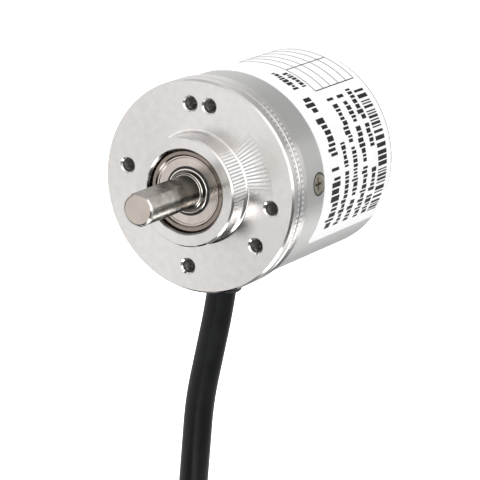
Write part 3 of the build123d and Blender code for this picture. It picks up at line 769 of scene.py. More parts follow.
# Bead-blasted aluminium: an even matte grey with no drawn-out highlight.
BLASTED_ALUMINIUM = BlastedMetal(
    "blasted_aluminium", "#d3d1ce", "#c9c6c3", 0.46, 1.0, relief=0.004
)
# Ground stainless steel: darker than aluminium, a sharper line of light along the shaft.
# Its darker stretch by the bearing is painted shade.
GROUND_STEEL = ShaftWithPaintedShade(
    "ground_stainless_steel", "#bcbab4", "#a3a19b", 0.2, 1.0, feed=0.2, relief=0.0004
)
# Hardened bearing steel, ground and polished: warm grey with clear reflections.
BEARING_STEEL = TurnedMetal(
    "polished_bearing_steel", "#998f85", "#90857d", 0.15, 1.0, feed=0.25, relief=0.0004
)
# The same steel, darker and browner, on the front bearing's inner ring beside the shaft.
DARKER_BEARING_STEEL = TurnedMetal(
    "darker_bearing_steel", "#6f665f", "#665d57", 0.15, 1.0, feed=0.25, relief=0.0004
)
# Balls are lapped, so they mirror everything.
LAPPED_STEEL = Finish("lapped_ball_steel", "#c9c6c2", "#bfbcb8", 0.07, 1.0, relief=0.0001)
# Cold-rolled steel sheet pressed into shields: satin and slightly warm.
PRESSED_STEEL = TurnedMetal(
    "pressed_shield_steel", "#d8cec7", "#cec3bc", 0.25, 1.0, feed=0.3, relief=0.0005
)
# Hardened spring steel strip: dark satin grey.
SPRING_STEEL = GroundMetal("spring_steel_strip", "#8b8b8e", "#77777a", 0.3, 1.0, relief=0.0008)
# Turned brass: warm yellow with rings.
TURNED_BRASS = TurnedMetal("turned_brass", "#d9bd7c", "#c8aa66", 0.25, 1.0, relief=0.0008)
# Blackened steel of the set screws: nearly black with a low gloss.
BLACKENED_STEEL = GroundMetal("blackened_steel", "#35353a", "#2a2a2e", 0.4, 1.0)
# Etched nickel sheet of the code disc: bright, thin and even.
ETCHED_NICKEL = GroundMetal("etched_nickel_sheet", "#d3d0c8", "#c7c4bc", 0.18, 1.0, relief=0.0003)
# Ground edges of hard steel, coloured much paler than the steel round them: painted highlights along
# the edges.
EDGE_PAINTED_HIGHLIGHT = GroundMetal("steel_edge_painted_highlight", "#efebe6", "#e4e0da", 0.14, 1.0)
# Zinc-plated steel of the small screws: faintly yellow, soft gloss.
ZINC_PLATE = Finish("zinc_plated_steel", "#b9b4a6", "#a39e90", 0.3, 1.0, grain=0.3, relief=0.003)
# Nickel-plated brass of the board pillars: pale and warm.
NICKEL_PLATE = GroundMetal("nickel_plated_brass", "#d8d2c4", "#c9c3b5", 0.22, 1.0)
# Tinned copper of the crimp ring and the core ends: soft grey metal.
TINNED_COPPER = GroundMetal("tinned_copper", "#c9c8c6", "#b6b5b3", 0.3, 1.0, line=(0.3, 0.3, 1.5))
# Drawn aluminium can of the capacitor: bright, with lines from the drawing.
DRAWN_ALUMINIUM = GroundMetal("drawn_aluminium", "#d5d5d8", "#c5c5c9", 0.25, 1.0)
# Moulded nitrile rubber of the seal ring: black and dull.
NITRILE = MouldedPlastic("moulded_nitrile_rubber", "#26262a", "#1e1e21", 0.62, grain=0.12)
# Moulded rubber of the cable bush: black, a little glossier than the seal.
BUSH_RUBBER = MouldedPlastic("moulded_bush_rubber", "#141416", "#0f0f11", 0.5, ior=1.36, grain=0.15)
# Extruded PVC jacket: black-grey with a soft broad gloss and a faint ripple from the die.
PVC_JACKET = MouldedPlastic(
    "extruded_pvc_jacket", "#111214", "#0c0d0e", 0.4, ior=1.29, grain=0.25, relief=0.0016
)
# Shrunk polyolefin sleeve: black, slightly duller than the jacket.
SHRUNK_SLEEVE = MouldedPlastic("shrunk_polyolefin_sleeve", "#202124", "#19191c", 0.5, grain=0.2)
# Moulded polyamide of the cable ties: black with a satin skin.
TIE_POLYAMIDE = MouldedPlastic("moulded_black_polyamide", "#2a2a2c", "#212123", 0.38, grain=0.2)
# Moulded polyamide of the ball cage: natural dark brown.
CAGE_POLYAMIDE = MouldedPlastic("moulded_cage_polyamide", "#221e1a", "#1b1815", 0.5)
# Moulded housing plastic of lamp holder and connectors.
BLACK_POLYMER = MouldedPlastic("moulded_black_polymer", "#28282a", "#202022", 0.45, grain=0.2)
NATURAL_POLYAMIDE = MouldedPlastic("moulded_natural_polyamide", "#e4dfcf", "#d8d2c0", 0.4)
# Moulded epoxy of the chips: charcoal with a fine sparkle of filler.
CHIP_EPOXY = MouldedPlastic("moulded_chip_epoxy", "#2b2b2e", "#232326", 0.5, grain=0.08)
# Cast clear resin of the lamp.
CAST_RESIN = ClearGlass("cast_clear_resin", "#e9ecef", "#e9ecef", 0.08, relief=0.0003)
# Polished mask glass over the sensor.
MASK_GLASS = ClearGlass("polished_mask_glass", "#e3efea", "#e3efea", 0.04, relief=0.0001)
# Amber polyimide film of the lamp's strip: glossy over copper.
POLYIMIDE = MouldedPlastic("polyimide_film", "#b5702c", "#a06124", 0.25, grain=0.4, coat=0.3)
# Green solder mask over glass cloth.
SOLDER_MASK = BoardLaminate("solder_mask_on_glass_cloth", "#1f6b3f", "#17552f", 0.28, relief=0.003)
# Punched insulation sheet: pale and matte.
FISH_PAPER = Finish("punched_insulation_sheet", "#d9d3bd", "#cbc4ac", 0.7, grain=0.4, relief=0.004)
# Printed polyester film of the label: near white with a soft gloss.
LABEL_FILM = MouldedPlastic(
    "printed_polyester_film", "#f6f6f6", "#f0f0f0", 0.38, grain=0.5, relief=0.0006
)
# Black ink of the label's print: dense, drier than the film round it.
LABEL_INK = MouldedPlastic("black_label_ink", "#070708", "#050506", 0.6, grain=0.2, relief=0.0003)


class CoreColour(Enum):
    """Insulation colours of the eight cores, in the usual order of a colour code."""

    RED = ("#b3262c", "#a11f25")
    BLACK = ("#222225", "#19191c")
    GREEN = ("#2f7a3f", "#286b36")
    BROWN = ("#6b4026", "#5d3620")
    WHITE = ("#e9e8e4", "#dddcd7")
    GREY = ("#8b8d90", "#7c7e81")
    YELLOW = ("#dcb824", "#cba81c")
    ORANGE = ("#cf6a22", "#bd5e1c")

    def finish(self) -> Finish:
        """Gives extruded PVC insulation in this colour, with the soft gloss of a thin core."""
        colour, shade = self.value
        return MouldedPlastic(f"extruded_core_{self.name.lower()}", colour, shade, 0.36, grain=0.2)


class Assembly:
    """Base of every sub-assembly: dresses its pieces, puts new ones on its body, reports them."""

    body: Body = Body.HOUSING
    kept: ClassVar[dict[str, Finish]] = {}

    def keep(self, node: str, finish: Finish) -> Piece:
        """Dresses a construction node that stays as it is.

        Args:
            node: Name of the node.
            finish: Its surface finish.

        Returns:
            The node's object.
        """
        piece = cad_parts[node]
        for place in piece.material_slots:
            place.material = finish.material()
        LOG.info("kept %s in %s", node, finish.name)
        return piece

    def build(self) -> None:
        """Dresses every construction node that this sub-assembly keeps."""
        for node, finish in self.kept.items():
            self.keep(node, finish)

    def add(self, piece: Piece, finish: Finish, slot: str, *nodes: str) -> Piece:
        """Dresses a new piece and puts it on this sub-assembly's body.

        Args:
            piece: The new object.
            finish: Its surface finish.
            slot: The record's material slot that it stands for; not used.
            nodes: Construction nodes that it replaces.

        Returns:
            The piece.
        """
        piece.data.materials.clear()
        piece.data.materials.append(finish.material())
        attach(piece, self.body.value)
        if nodes:
            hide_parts(*nodes)
        LOG.info("made %s in %s", piece.name, finish.name)
        return piece


@dataclass
class PhotoCamera:
    """Camera where the photograph was taken from, its place in millimetres."""

    place: Spot = (264.24, -473.37, 171.37)
    forward: Spot = (-0.44934, 0.83584, -0.31538)
    roll: float = 7.82
    lens: float = 239.9
    sensor: float = 36.0
    nearest: float = 0.01
    farthest: float = 20.0

    def build(self) -> None:
        """Makes the camera and sets it as the scene's camera."""
        data = bpy.data.cameras.new("photo_camera")
        data.lens = self.lens
        data.sensor_width = self.sensor
        data.clip_start = self.nearest
        data.clip_end = self.farthest
        camera = bpy.data.objects.new("photo_camera", data)
        level = Vector(self.forward).to_track_quat("-Z", "Y").to_matrix().to_4x4()
        turned = level @ Matrix.Rotation(math.radians(self.roll), 4, "Z")
        camera.matrix_world = Matrix.Translation(Vector(self.place) * MM) @ turned
        bpy.context.scene.collection.objects.link(camera)
        bpy.context.scene.camera = camera
        LOG.info("camera set")


@dataclass
class Cable(Assembly):
    """The whole cable: out of the bush, down, round the tied coil and out to its bare end."""

    diameter: float = 5.4
    length: float = 1500.0
    exit_place: Spot = (0.0, 13.9, -22.4)
    coil_centre_z: float = -109.0
    layer_radii: Spot = (36.75, 31.2, 25.65)
    layer_edge: float = 6.4
    inset: float = 0.2
    turn_pitch: float = 5.56
    first_angle: float = 57.0
    climb: float = 60.0
    last_angle: float = 76.8
    points_per_turn: int = 16
    hanging_route: tuple[Spot, ...] = (
        (0.0, 13.9, -15.2),
        (0.0, 13.9, -25.0),
        (0.2, 12.0, -35.0),
        (-0.2, 11.4, -44.0),
        (0.2, 11.8, -54.0),
        (0.0, 13.2, -64.0),
        (-1.4, 17.4, -73.6),
        (-4.0, 24.9, -81.6),
        (-6.2, 30.9, -89.0),
    )
    tail_route: tuple[Spot, ...] = (
        (6.2, 25.6, -103.0),
        (8.4, 25.9, -112.0),
        (12.2, 25.6, -121.5),
        (13.0, 24.6, -131.5),
    )

    def coil_marks(self) -> list[Spot]:
        """Works out where each layer of the coil starts and ends.

        Returns:
            Angle, radius and side place at the ends of each layer.
        """
        layer_turn = 2 * self.layer_edge / self.turn_pitch * FULL_TURN
        outer, middle, inner = self.layer_radii
        outer_end = self.first_angle + layer_turn
        middle_start = outer_end + self.climb
        middle_end = middle_start + layer_turn
        inner_start = middle_end + self.climb
        whole_turns = math.floor((inner_start + layer_turn) / FULL_TURN)
        inner_end = whole_turns * FULL_TURN + self.last_angle
        if inner_end - inner_start > layer_turn:
            inner_end -= FULL_TURN
        return [
            (self.first_angle, outer, -self.layer_edge),
            (outer_end, outer, self.layer_edge),
            (middle_start, middle, self.layer_edge),
            (middle_end, middle, -self.layer_edge),
            (inner_start, inner, -self.layer_edge),
            (inner_end, inner, self.layer_edge - self.inset),
        ]

    def coil_route(self) -> list[Spot]:
        """Winds three layers side by side, from the outside in.

        Returns:
            Control points in millimetres, sixteen for each turn.
        """
        marks = self.coil_marks()
        wound = marks[-1][0] - self.first_angle
        step = FULL_TURN / self.points_per_turn
        # Control points stand a little outside the round line that the smooth curve draws.
        cut = (3 + math.cos(math.radians(step))) / 4
        count = round(wound / step)
        route = []
        for index in range(1, count):
            angle = self.first_angle + index * wound / count
            radius, aside = self.between(marks, angle)
            turn = math.radians(angle)
            across = radius / cut * math.sin(turn)
            route.append((aside, across, self.coil_centre_z + radius / cut * math.cos(turn)))
        return route

    def between(self, marks: list[Spot], angle: float) -> Span:
        """Gives radius and side place at an angle of the winding.

        Args:
            marks: Angle, radius and side place at the ends of each layer.
            angle: Degrees wound since the top of the coil.

        Returns:
            Radius and side place in millimetres.
        """
        for (start, low, left), (end, high, right) in zip(marks, marks[1:]):
            if angle <= end:
                share = (angle - start) / (end - start)
                return low + share * (high - low), left + share * (right - left)
        return marks[-1][1], marks[-1][2]

    def build(self, riders: list[Piece]) -> None:
        """Args:
            riders: Ties, sleeve, cores and core ends; not used.
        """
        route = [*self.hanging_route, *self.coil_route(), *self.tail_route]
        piece = new_cord("cable_run", route, self.diameter / 2, sides=10)
        self.add(piece, PVC_JACKET, "cable_jacket", "cable", "cable_coil", "cable_tail")


@dataclass
class CableEnd(Assembly):
    """Sleeve, eight free cores with crimped ends, and the ties round the coil."""

    kept: ClassVar[dict[str, Finish]] = {
        "cable_ties": TIE_POLYAMIDE,
        "jacket_sleeve": SHRUNK_SLEEVE,
        "lead_ferrules": TINNED_COPPER,
    }
    end_place: Spot = (13.0, 24.6, -131.5)
    before_end: Spot = (12.2, 25.6, -121.5)
    sleeve_tip: float = 5.0
    core_radius: float = 0.65
    core_length: float = 34.0
    core_start: float = 1.0
    ring_radius: float = 1.9
    splay: float = 2.0
    bow: float = 0.9
    bow_shares: tuple[float, ...] = (0.0, 0.12, 0.35, 0.62, 0.86, 1.0)
    bow_step: float = 2.3
    bow_first: float = 1.1

    def build(self) -> list[Piece]:
        """Makes the cores and dresses the kept pieces.

        Returns:
            The pieces that go with the cable.
        """
        pieces = [self.keep(node, finish) for node, finish in self.kept.items()]
        for index, colour in enumerate(CoreColour):
            name = f"core_{colour.name.lower()}"
            core = new_cord(name, self.core_line(index), self.core_radius, sides=4)
            pieces.append(self.add(core, colour.finish(), "core_insulation", "lead_cores"))
        return pieces

    def core_line(self, index: int) -> list[Spot]:
        """Gives the slightly bowed line of one core.

        Args:
            index: Number of the core in its ring.

        Returns:
            Control points in millimetres.
        """
        end = Vector(self.end_place)
        along = (end - Vector(self.before_end)).normalized()
        across = Vector((0.0, 0.0, 1.0)).cross(along).normalized()
        upward = along.cross(across)
        turn = 2 * math.pi * index / len(CoreColour)
        outward = across * math.cos(turn) + upward * math.sin(turn)
        far = self.ring_radius * self.splay
        first = end + along * (self.sleeve_tip - self.core_start) + outward * self.ring_radius
        last = end + along * (self.sleeve_tip + self.core_length) + outward * far
        swell = self.bow * math.sin(self.bow_step * index + self.bow_first)
        line = []
        for share in self.bow_shares:
            aside = abs(swell * math.sin(math.pi * share))
            line.append(tuple(first.lerp(last, share) + outward * aside))
        return line


@dataclass(frozen=True)
class Chatter:
    """Ribs along the axis that a chattering tool left on one turned side.

    Angles are the first and last of the ribs, places their front and rear edge along Y. The
    step is in degrees from rib to rib, the height is half a rib's whole depth.
    """

    name: str
    radius: float
    angles: Span
    places: Span
    step: float
    height: float
    finish: Finish
    rows_per_rib: int = 12
    fullness: float = 0.7

    def rows(self) -> int:
        """Gives the number of rows of points, with one more to end the last rib."""
        return int((self.angles[1] - self.angles[0]) / self.step * self.rows_per_rib) + 1

    def row(self, index: int) -> Span:
        """Gives one row's angle and how strong the ribs are there.

        Args:
            index: Number of the row.

        Returns:
            The angle, and a share that fades to nought at both ends.
        """
        last = self.rows() - 1
        angle = self.angles[0] + (self.angles[1] - self.angles[0]) * index / last
        return angle, max(math.sin(math.pi * index / last), 0.0) ** self.fullness


@dataclass
class Flange(Assembly):
    """Turned flange with threads, chatter ribs and a fillet, and the seal behind it."""

    kept: ClassVar[dict[str, Finish]] = {"flange": TURNED_ALUMINIUM, "seal_ring": NITRILE}
    hole_circle: float = 15.0
    hole_radius: float = 1.25
    hole_angles: tuple[float, ...] = (0.0, 90.0, 180.0, 270.0, 120.0, 240.0, -15.0)
    thread_pitch: float = 0.5
    thread_height: float = 0.13
    thread_root: float = 0.02
    thread_width: float = 0.92
    thread_start: float = 0.45
    thread_end: float = 6.2
    sides: int = 28
    collar_radius: float = 10.0
    skin: float = 0.004
    root_radius: float = 0.42
    sides_chatter: tuple[Chatter, ...] = (
        Chatter("collar_chatter", 10.0, (32.0, 90.0), (-4.4, -0.1), 3.6, 0.02, RIBBED_SIDE),
        Chatter("rim_front_chatter", 19.45, (22.0, 112.0), (1.5, 2.1), 2.9, 0.006, RIBBED_RIM),
        Chatter("rim_rear_chatter", 19.45, (22.0, 112.0), (2.9, 3.7), 2.9, 0.006, RIBBED_RIM),
    )
    face_chatter: Chatter = Chatter(
        "face_chatter", 10.3, (34.0, 81.0), (0.0, 0.0), 3.1, 0.022, RIBBED_FACE
    )
    face_chatter_end: float = 15.2
    valley_lift: float = 1.3

    def build(self) -> None:
        """Dresses the flange and the seal, cuts threads and adds the tool's marks."""
        super().build()
        points: list[Vector] = []
        faces: list[tuple] = []
        for angle in self.hole_angles:
            self.cut_thread(polar(self.hole_circle, angle, 0.0), points, faces)
        # The threads are darker than the face: painted shade inside the holes.
        threads = new_mesh("hole_threads", points, faces)
        self.add(threads, TAPPED_ALUMINIUM, "machined_aluminium")
        for chatter in self.sides_chatter:
            self.add_chatter(chatter)
        self.add_root()
        self.add_face_chatter(self.face_chatter)

    def add_root(self) -> None:
        """Adds the small fillet that the tool's nose left at the foot of the collar."""
        steps = 6
        profile = []
        for part in range(steps + 1):
            turn = math.pi / 2 * part / steps
            reach = self.collar_radius + self.root_radius * (1 - math.cos(turn))
            depth = self.root_radius * (1 - math.sin(turn))
            profile.append((reach + self.skin, -depth - self.skin))
        self.add(lathe("collar_root", profile), RUBBED_ALUMINIUM, "machined_aluminium")

    def add_ribs(self, chatter: Chatter, points: list[Vector], across: int) -> None:
        """Makes a ribbed skin.

        Args:
            chatter: The ribs.
            points: Mesh points in metres, row by row.
            across: Points in each row.
        """
        sheet = new_mesh(chatter.name, points, row_faces(chatter.rows(), across), SKIN_SMOOTH_BELOW)
        self.add(sheet, chatter.finish, "machined_aluminium")

    def add_chatter(self, chatter: Chatter) -> None:
        """Adds ribs on one turned side, a little uneven as chatter is.

        Args:
            chatter: The ribs.
        """
        uneven, uneven_turn = 0.3, 7.1
        points = []
        for index in range(chatter.rows()):
            angle, fade = chatter.row(index)
            ribs = angle / chatter.step
            wave = math.sin(2 * math.pi * ribs) + uneven * math.sin(uneven_turn * ribs)
            lift = self.skin + chatter.height * fade * (self.valley_lift + wave)
            points += [polar(chatter.radius + lift, angle, place) for place in chatter.places]
        self.add_ribs(chatter, points, 2)

    def add_face_chatter(self, chatter: Chatter) -> None:
        """Adds the same ribs where they run out over the mounting face, one flank steeper.

        Args:
            chatter: The ribs.
        """
        rings = 8
        half_rise, steep = 0.34, 0.16
        run_out = 1.6
        points = []
        for index in range(chatter.rows()):
            angle, fade = chatter.row(index)
            turn = angle / chatter.step % 1
            rising = turn < 2 * half_rise
            wave = turn / half_rise - 1 if rising else 1 - (turn - 2 * half_rise) / steep
            for ring in range(rings + 1):
                share = ring / rings
                strength = chatter.height * fade * (1 - share) ** run_out
                lift = self.skin + strength * (self.valley_lift + wave)
                reach = chatter.radius + (self.face_chatter_end - chatter.radius) * share
                points.append(polar(reach, angle, -lift))
        self.add_ribs(chatter, points, rings + 1)

    def cut_thread(self, centre: Vector, points: list, faces: list) -> None:
        """Adds one helical thread ridge inside a hole.

        Args:
            centre: The hole's centre on the mounting face, in metres.
            points: Mesh points, extended here.
            faces: Mesh faces, extended here.
        """
        turns = (self.thread_end - self.thread_start) / self.thread_pitch
        count = int(turns * self.sides)
        base = len(points)
        half = self.thread_pitch * self.thread_width / 2
        root = self.hole_radius + self.thread_root
        section = [(root, -half), (self.hole_radius - self.thread_height, 0.0), (root, half)]
        for index in range(count + 1):
            fade = min(1.0, index / self.sides, (count - index) / self.sides)
            place = self.thread_start + index / self.sides * self.thread_pitch
            for radius, offset in section:
                reach = root - (root - radius) * fade
                spot = polar(reach, index * FULL_TURN / self.sides, place + offset)
                points.append(centre + spot)
        for index in range(count):
            here = base + 3 * index
            for side in range(3):
                beside = (side + 1) % 3
                faces.append((here + side, here + 3 + side, here + 3 + beside, here + beside))
        faces.append((base, base + 1, base + 2))
        last = base + 3 * count
        faces.append((last + 2, last + 1, last))


@dataclass
class Housing(Assembly):
    """Blasted can, its screws and the bush that the cable leaves by."""

    kept: ClassVar[dict[str, Finish]] = {
        "housing_can": BLASTED_ALUMINIUM,
        "housing_screws": ZINC_PLATE,
        "cable_grommet": BUSH_RUBBER,
        "cable_crimp": TINNED_COPPER,
        "insulator_disc": FISH_PAPER,
    }
    can_radius: float = 18.95
    skin: float = 0.012
    screw_place: float = 10.15
    screw_angles: tuple[float, ...] = (79.2, 199.2, 319.2)
    shadow_ring_radii: Span = (1.9, 2.16)

    def build(self) -> None:
        """Dresses the can and adds a dark ring at the edge of each countersink: painted shadow round
        each screw head.
        """
        super().build()
        steps = 36
        points = []
        faces = []
        for middle in self.screw_angles:
            faces += row_faces(steps, 2, True, len(points))
            for index in range(steps):
                turn = 2 * math.pi * index / steps
                for radius in self.shadow_ring_radii:
                    aside = math.degrees(radius * math.sin(turn) / self.can_radius)
                    place = self.screw_place + radius * math.cos(turn)
                    points.append(polar(self.can_radius + self.skin, middle + aside, place))
        # Dark rings of painted shadow round the screw heads.
        self.add(new_mesh("screw_painted_shadows", points, faces), COUNTERSINK_PAINTED_SHADOW, "machined_aluminium")


@dataclass
class Label(Assembly):
    """Printed label with lines of dummy print, a row of bars and an empty table."""

    kept: ClassVar[dict[str, Finish]] = {"label": LABEL_FILM}
    radius: float = 19.03
    ink: float = 0.02
    seed: int = 7
    step: float = 1.5
    # Lines of plain blocks in place of print: first and last angle, front and rear edge.
    lines: tuple[tuple[float, float, float, float], ...] = (
        (109.6, 71.0, 14.8, 17.8),
        (67.5, 31.2, 14.8, 17.8),
        (109.6, 60.4, 19.0, 21.0),
        (109.6, 34.4, 22.2, 24.4),
        (110.0, 34.4, 25.9, 28.1),
        (109.6, 79.8, 29.2, 31.4),
        (70.0, 34.0, 29.2, 31.4),
        (25.0, 7.0, 15.8, 17.6),
        (25.0, 10.0, 18.5, 20.3),
    )
    word_lengths: tuple[int, ...] = (5, 7, 9, 12)
    block_widths: Span = (0.16, 0.42)
    block_gap: float = 0.11
    word_gap: float = 0.3
    block_tops: tuple[float, ...] = (0.0, 0.22, 0.3, 0.3)
    block_feet: tuple[float, ...] = (0.0, 0.0, 0.12)
    bars: tuple[float, float, float, float] = (110.0, 37.6, 32.2, 35.5)
    bar_widths: tuple[float, ...] = (0.25, 0.25, 0.5, 0.8)
    bar_gaps: tuple[float, ...] = (0.25, 0.3, 0.55)
    table_rows: tuple[float, ...] = (21.2, 24.2, 26.8, 29.8, 32.7, 35.4)
    table_columns: Spot = (30.0, 9.0, -21.0)
    rule_half_width: float = 0.09
    rule_half_angle: float = 0.3

    def build(self) -> None:
        """Dresses the label's film and prints on it."""
        super().build()
        self.points: list[Vector] = []
        self.faces: list[tuple] = []
        self.chance = random.Random(self.seed)
        for line in self.lines:
            self.print_line(*line)
        self.print_bars(*self.bars)
        self.print_table()
        marks = new_mesh("label_print", self.points, self.faces)
        self.add(marks, LABEL_INK, "label_film")

    def degrees(self, length: float) -> float:
        """Turns a length along the label into degrees."""
        return math.degrees(length / self.radius)

    def print_line(self, first: float, last: float, front: float, rear: float) -> None:
        """Prints one line of dummy words, made of plain blocks that spell nothing.

        Args:
            first: Angle where the line starts.
            last: Angle where it ends, lower than the first.
            front: Place of the line's front edge along Y.
            rear: Place of its rear edge.
        """
        height = rear - front
        angle = first
        while angle > last:
            for _ in range(self.chance.choice(self.word_lengths)):
                width = height * self.chance.uniform(*self.block_widths)
                if angle - self.degrees(width) < last:
                    return
                top = front + height * self.chance.choice(self.block_tops)
                foot = rear - height * self.chance.choice(self.block_feet)
                self.patch(angle, angle - self.degrees(width), top, foot)
                angle -= self.degrees(width + height * self.block_gap)
            angle -= self.degrees(height * self.word_gap)

    def print_bars(self, first: float, last: float, front: float, rear: float) -> None:
        """Prints a row of bars in an even random rhythm that stands for no number.

        Args:
            first: Angle where the row starts.
            last: Angle where it ends, lower than the first.
            front: Place of the bars' front ends along Y.
            rear: Place of their rear ends.
        """
        angle = first
        while angle > last:
            width = self.chance.choice(self.bar_widths)
            self.patch(angle, angle - self.degrees(width), front, rear)
            angle -= self.degrees(width + self.chance.choice(self.bar_gaps))

    def print_table(self) -> None:
        """Prints an empty ruled table over the top of the housing."""
        rows, columns = self.table_rows, self.table_columns
        for row in rows:
            half = self.rule_half_width
            self.patch(columns[0], columns[-1], row - half, row + half)
        for column in columns:
            half = self.rule_half_angle
            self.patch(column + half, column - half, rows[0], rows[-1])

    def patch(self, first: float, last: float, front: float, rear: float) -> None:
        """Adds one thin curved block of ink.

        Args:
            first: Angle of one side.
            last: Angle of the other side.
            front: Front edge along Y.
            rear: Rear edge along Y.
        """
        count = max(1, math.ceil(abs(first - last) / self.step))
        base = len(self.points)
        for index in range(count + 1):
            angle = first + (last - first) * index / count
            for radius in (self.radius - self.ink, self.radius + self.ink):
                for place in (front, rear):
                    self.points.append(polar(radius, angle, place))
        for index in range(count):
            here = base + 4 * index
            for one, two in ((0, 1), (1, 3), (3, 2), (2, 0)):
                self.faces.append((here + one, here + two, here + 4 + two, here + 4 + one))
        last_corner = base + 4 * count
        self.faces.append((base, base + 2, base + 3, base + 1))
        self.faces.append((last_corner, last_corner + 1, last_corner + 3, last_corner + 2))


@dataclass
class Rotor(Assembly):
    """Shaft, inner rings, preload washer, hub and code disc, which turn together."""

    body: Body = Body.ROTOR
    kept: ClassVar[dict[str, Finish]] = {
        "shaft": GROUND_STEEL,
        "front_bearing_inner_ring": DARKER_BEARING_STEEL,
        "rear_bearing_inner_ring": BEARING_STEEL,
        "preload_washer": SPRING_STEEL,
        "disc_hub": TURNED_BRASS,
        "hub_grub_screws": BLACKENED_STEEL,
        "code_disc": ETCHED_NICKEL,
        "disc_clamp": TURNED_BRASS,
    }
    # Edges of hard steel with painted highlights, as radius and place along Y.
    edges: ClassVar[dict[str, list[Span]]] = {
        "shoulder_root": [(3.01, -4.6), (3.03, -4.53), (3.07, -4.48), (3.12, -4.465)],
        "shoulder_edge": [(3.35, -4.43), (3.41, -4.38), (3.46, -4.3)],
        "inner_ring_edge": [(3.84, -3.86), (3.92, -3.86), (4.02, -3.83), (4.07, -3.74)],
        "tip_edge": [(2.68, -20.31), (3.012, -19.97), (3.008, -19.9)],
    }
    # The tip's edge stops at the flat on top of the shaft.
    tip_span: Span = (36.0, 324.0)

    def build(self) -> None:
        """Dresses everything that turns with the shaft and adds its edges with painted highlights."""
        super().build()
        for name, profile in self.edges.items():
            span = self.tip_span if name == "tip_edge" else (0.0, FULL_TURN)
            self.add(lathe(name, profile, span), EDGE_PAINTED_HIGHLIGHT, "stainless_steel")


@dataclass
class Bearing(Assembly):
    """One shielded ball bearing without its inner ring."""

    name: str = "front_bearing"
    has_gap_shade_ring: bool = True

    def build(self) -> None:
        """Dresses the outer ring, the shields, the balls and their cage, and where asked adds a black
        ring of painted shade in the gap by the inner ring.
        """
        self.keep(f"{self.name}_outer_ring", BEARING_STEEL)
        self.keep(f"{self.name}_shields", PRESSED_STEEL)
        self.keep(f"{self.name}_balls", LAPPED_STEEL)
        self.keep(f"{self.name}_cage", CAGE_POLYAMIDE)
        if self.has_gap_shade_ring:
            # A thin black ring in the gap between the shield and the inner ring: painted shade where
            # the gap lies in shadow.
            profile = [(4.12, -3.45), (4.12, -3.62), (4.2, -3.66), (4.4, -3.64), (4.5, -3.54)]
            self.add(lathe("front_bearing_gap_shade_ring", profile), NITRILE, "nitrile_rubber")


@dataclass
class ReadingHead(Assembly):
    """Lamp holder in front of the code disc, and the sensor behind it."""

    kept: ClassVar[dict[str, Finish]] = {
        "emitter_block": BLACK_POLYMER,
        "emitter_lamp": CAST_RESIN,
        "emitter_screws": ZINC_PLATE,
        "emitter_strip": POLYIMIDE,
        "reticle": MASK_GLASS,
        "optical_sensor": CHIP_EPOXY,
    }


@dataclass
class Boards(Assembly):
    """Two circuit boards on pillars, with their components and the cable's socket."""

    kept: ClassVar[dict[str, Finish]] = {
        "sensor_board": SOLDER_MASK,
        "sensor_board_chips": CHIP_EPOXY,
        "board_pillars": NICKEL_PLATE,
        "board_link": BLACK_POLYMER,
        "board_spacers": NICKEL_PLATE,
        "interface_board": SOLDER_MASK,
        "interface_board_chips": CHIP_EPOXY,
        "capacitor": DRAWN_ALUMINIUM,
        "board_screws": ZINC_PLATE,
        "cable_socket": NATURAL_POLYAMIDE,
        "cable_plug": NATURAL_POLYAMIDE,
        "inner_cores": CoreColour.GREY.finish(),
        "inner_harness": SHRUNK_SLEEVE,
    }


class Side(Enum):
    """Half of the studio that a band of light stands in, by its direction along the shaft."""

    FRONT = -1.0
    BACK = 1.0


@dataclass(frozen=True)
class LightBand:
    """A long soft-edged lamp or shade beside the shaft axis, as seen in the metal.

    The angle runs from the top towards +X. Half width and softness are in degrees, and a level
    of one is white.
    """

    side: Side
    angle: float
    half_width: float
    level: float
    softness: float

    def mask(self, tree: Tree, around: Socket, along: Socket) -> Socket:
        """Gives one inside the band and nought outside it.

        Args:
            tree: The world's node tree.
            around: Direction of the ray, flattened across the shaft axis.
            along: The ray's part along the shaft axis.

        Returns:
            The band's mask.
        """
        half_blend = 0.15
        turn = math.radians(self.angle)
        centre = {"operation": "DOT_PRODUCT", 1: (math.sin(turn), 0.0, math.cos(turn))}
        reach = add_node(tree, "ShaderNodeVectorMath", centre, {0: around}).outputs["Value"]
        edge = {
            "interpolation_type": "SMOOTHSTEP",
            "From Min": math.cos(math.radians(self.half_width + self.softness)),
            "From Max": math.cos(math.radians(max(self.half_width - self.softness, 0.0))),
        }
        half = {
            "interpolation_type": "SMOOTHSTEP",
            "From Min": -half_blend * self.side.value,
            "From Max": half_blend * self.side.value,
        }
        inside = add_node(tree, "ShaderNodeMapRange", edge, {"Value": reach}).outputs[0]
        share = add_node(tree, "ShaderNodeMapRange", half, {"Value": along}).outputs[0]
        both = {0: inside, 1: share}
        return add_node(tree, "ShaderNodeMath", {"operation": "MULTIPLY"}, both).outputs[0]


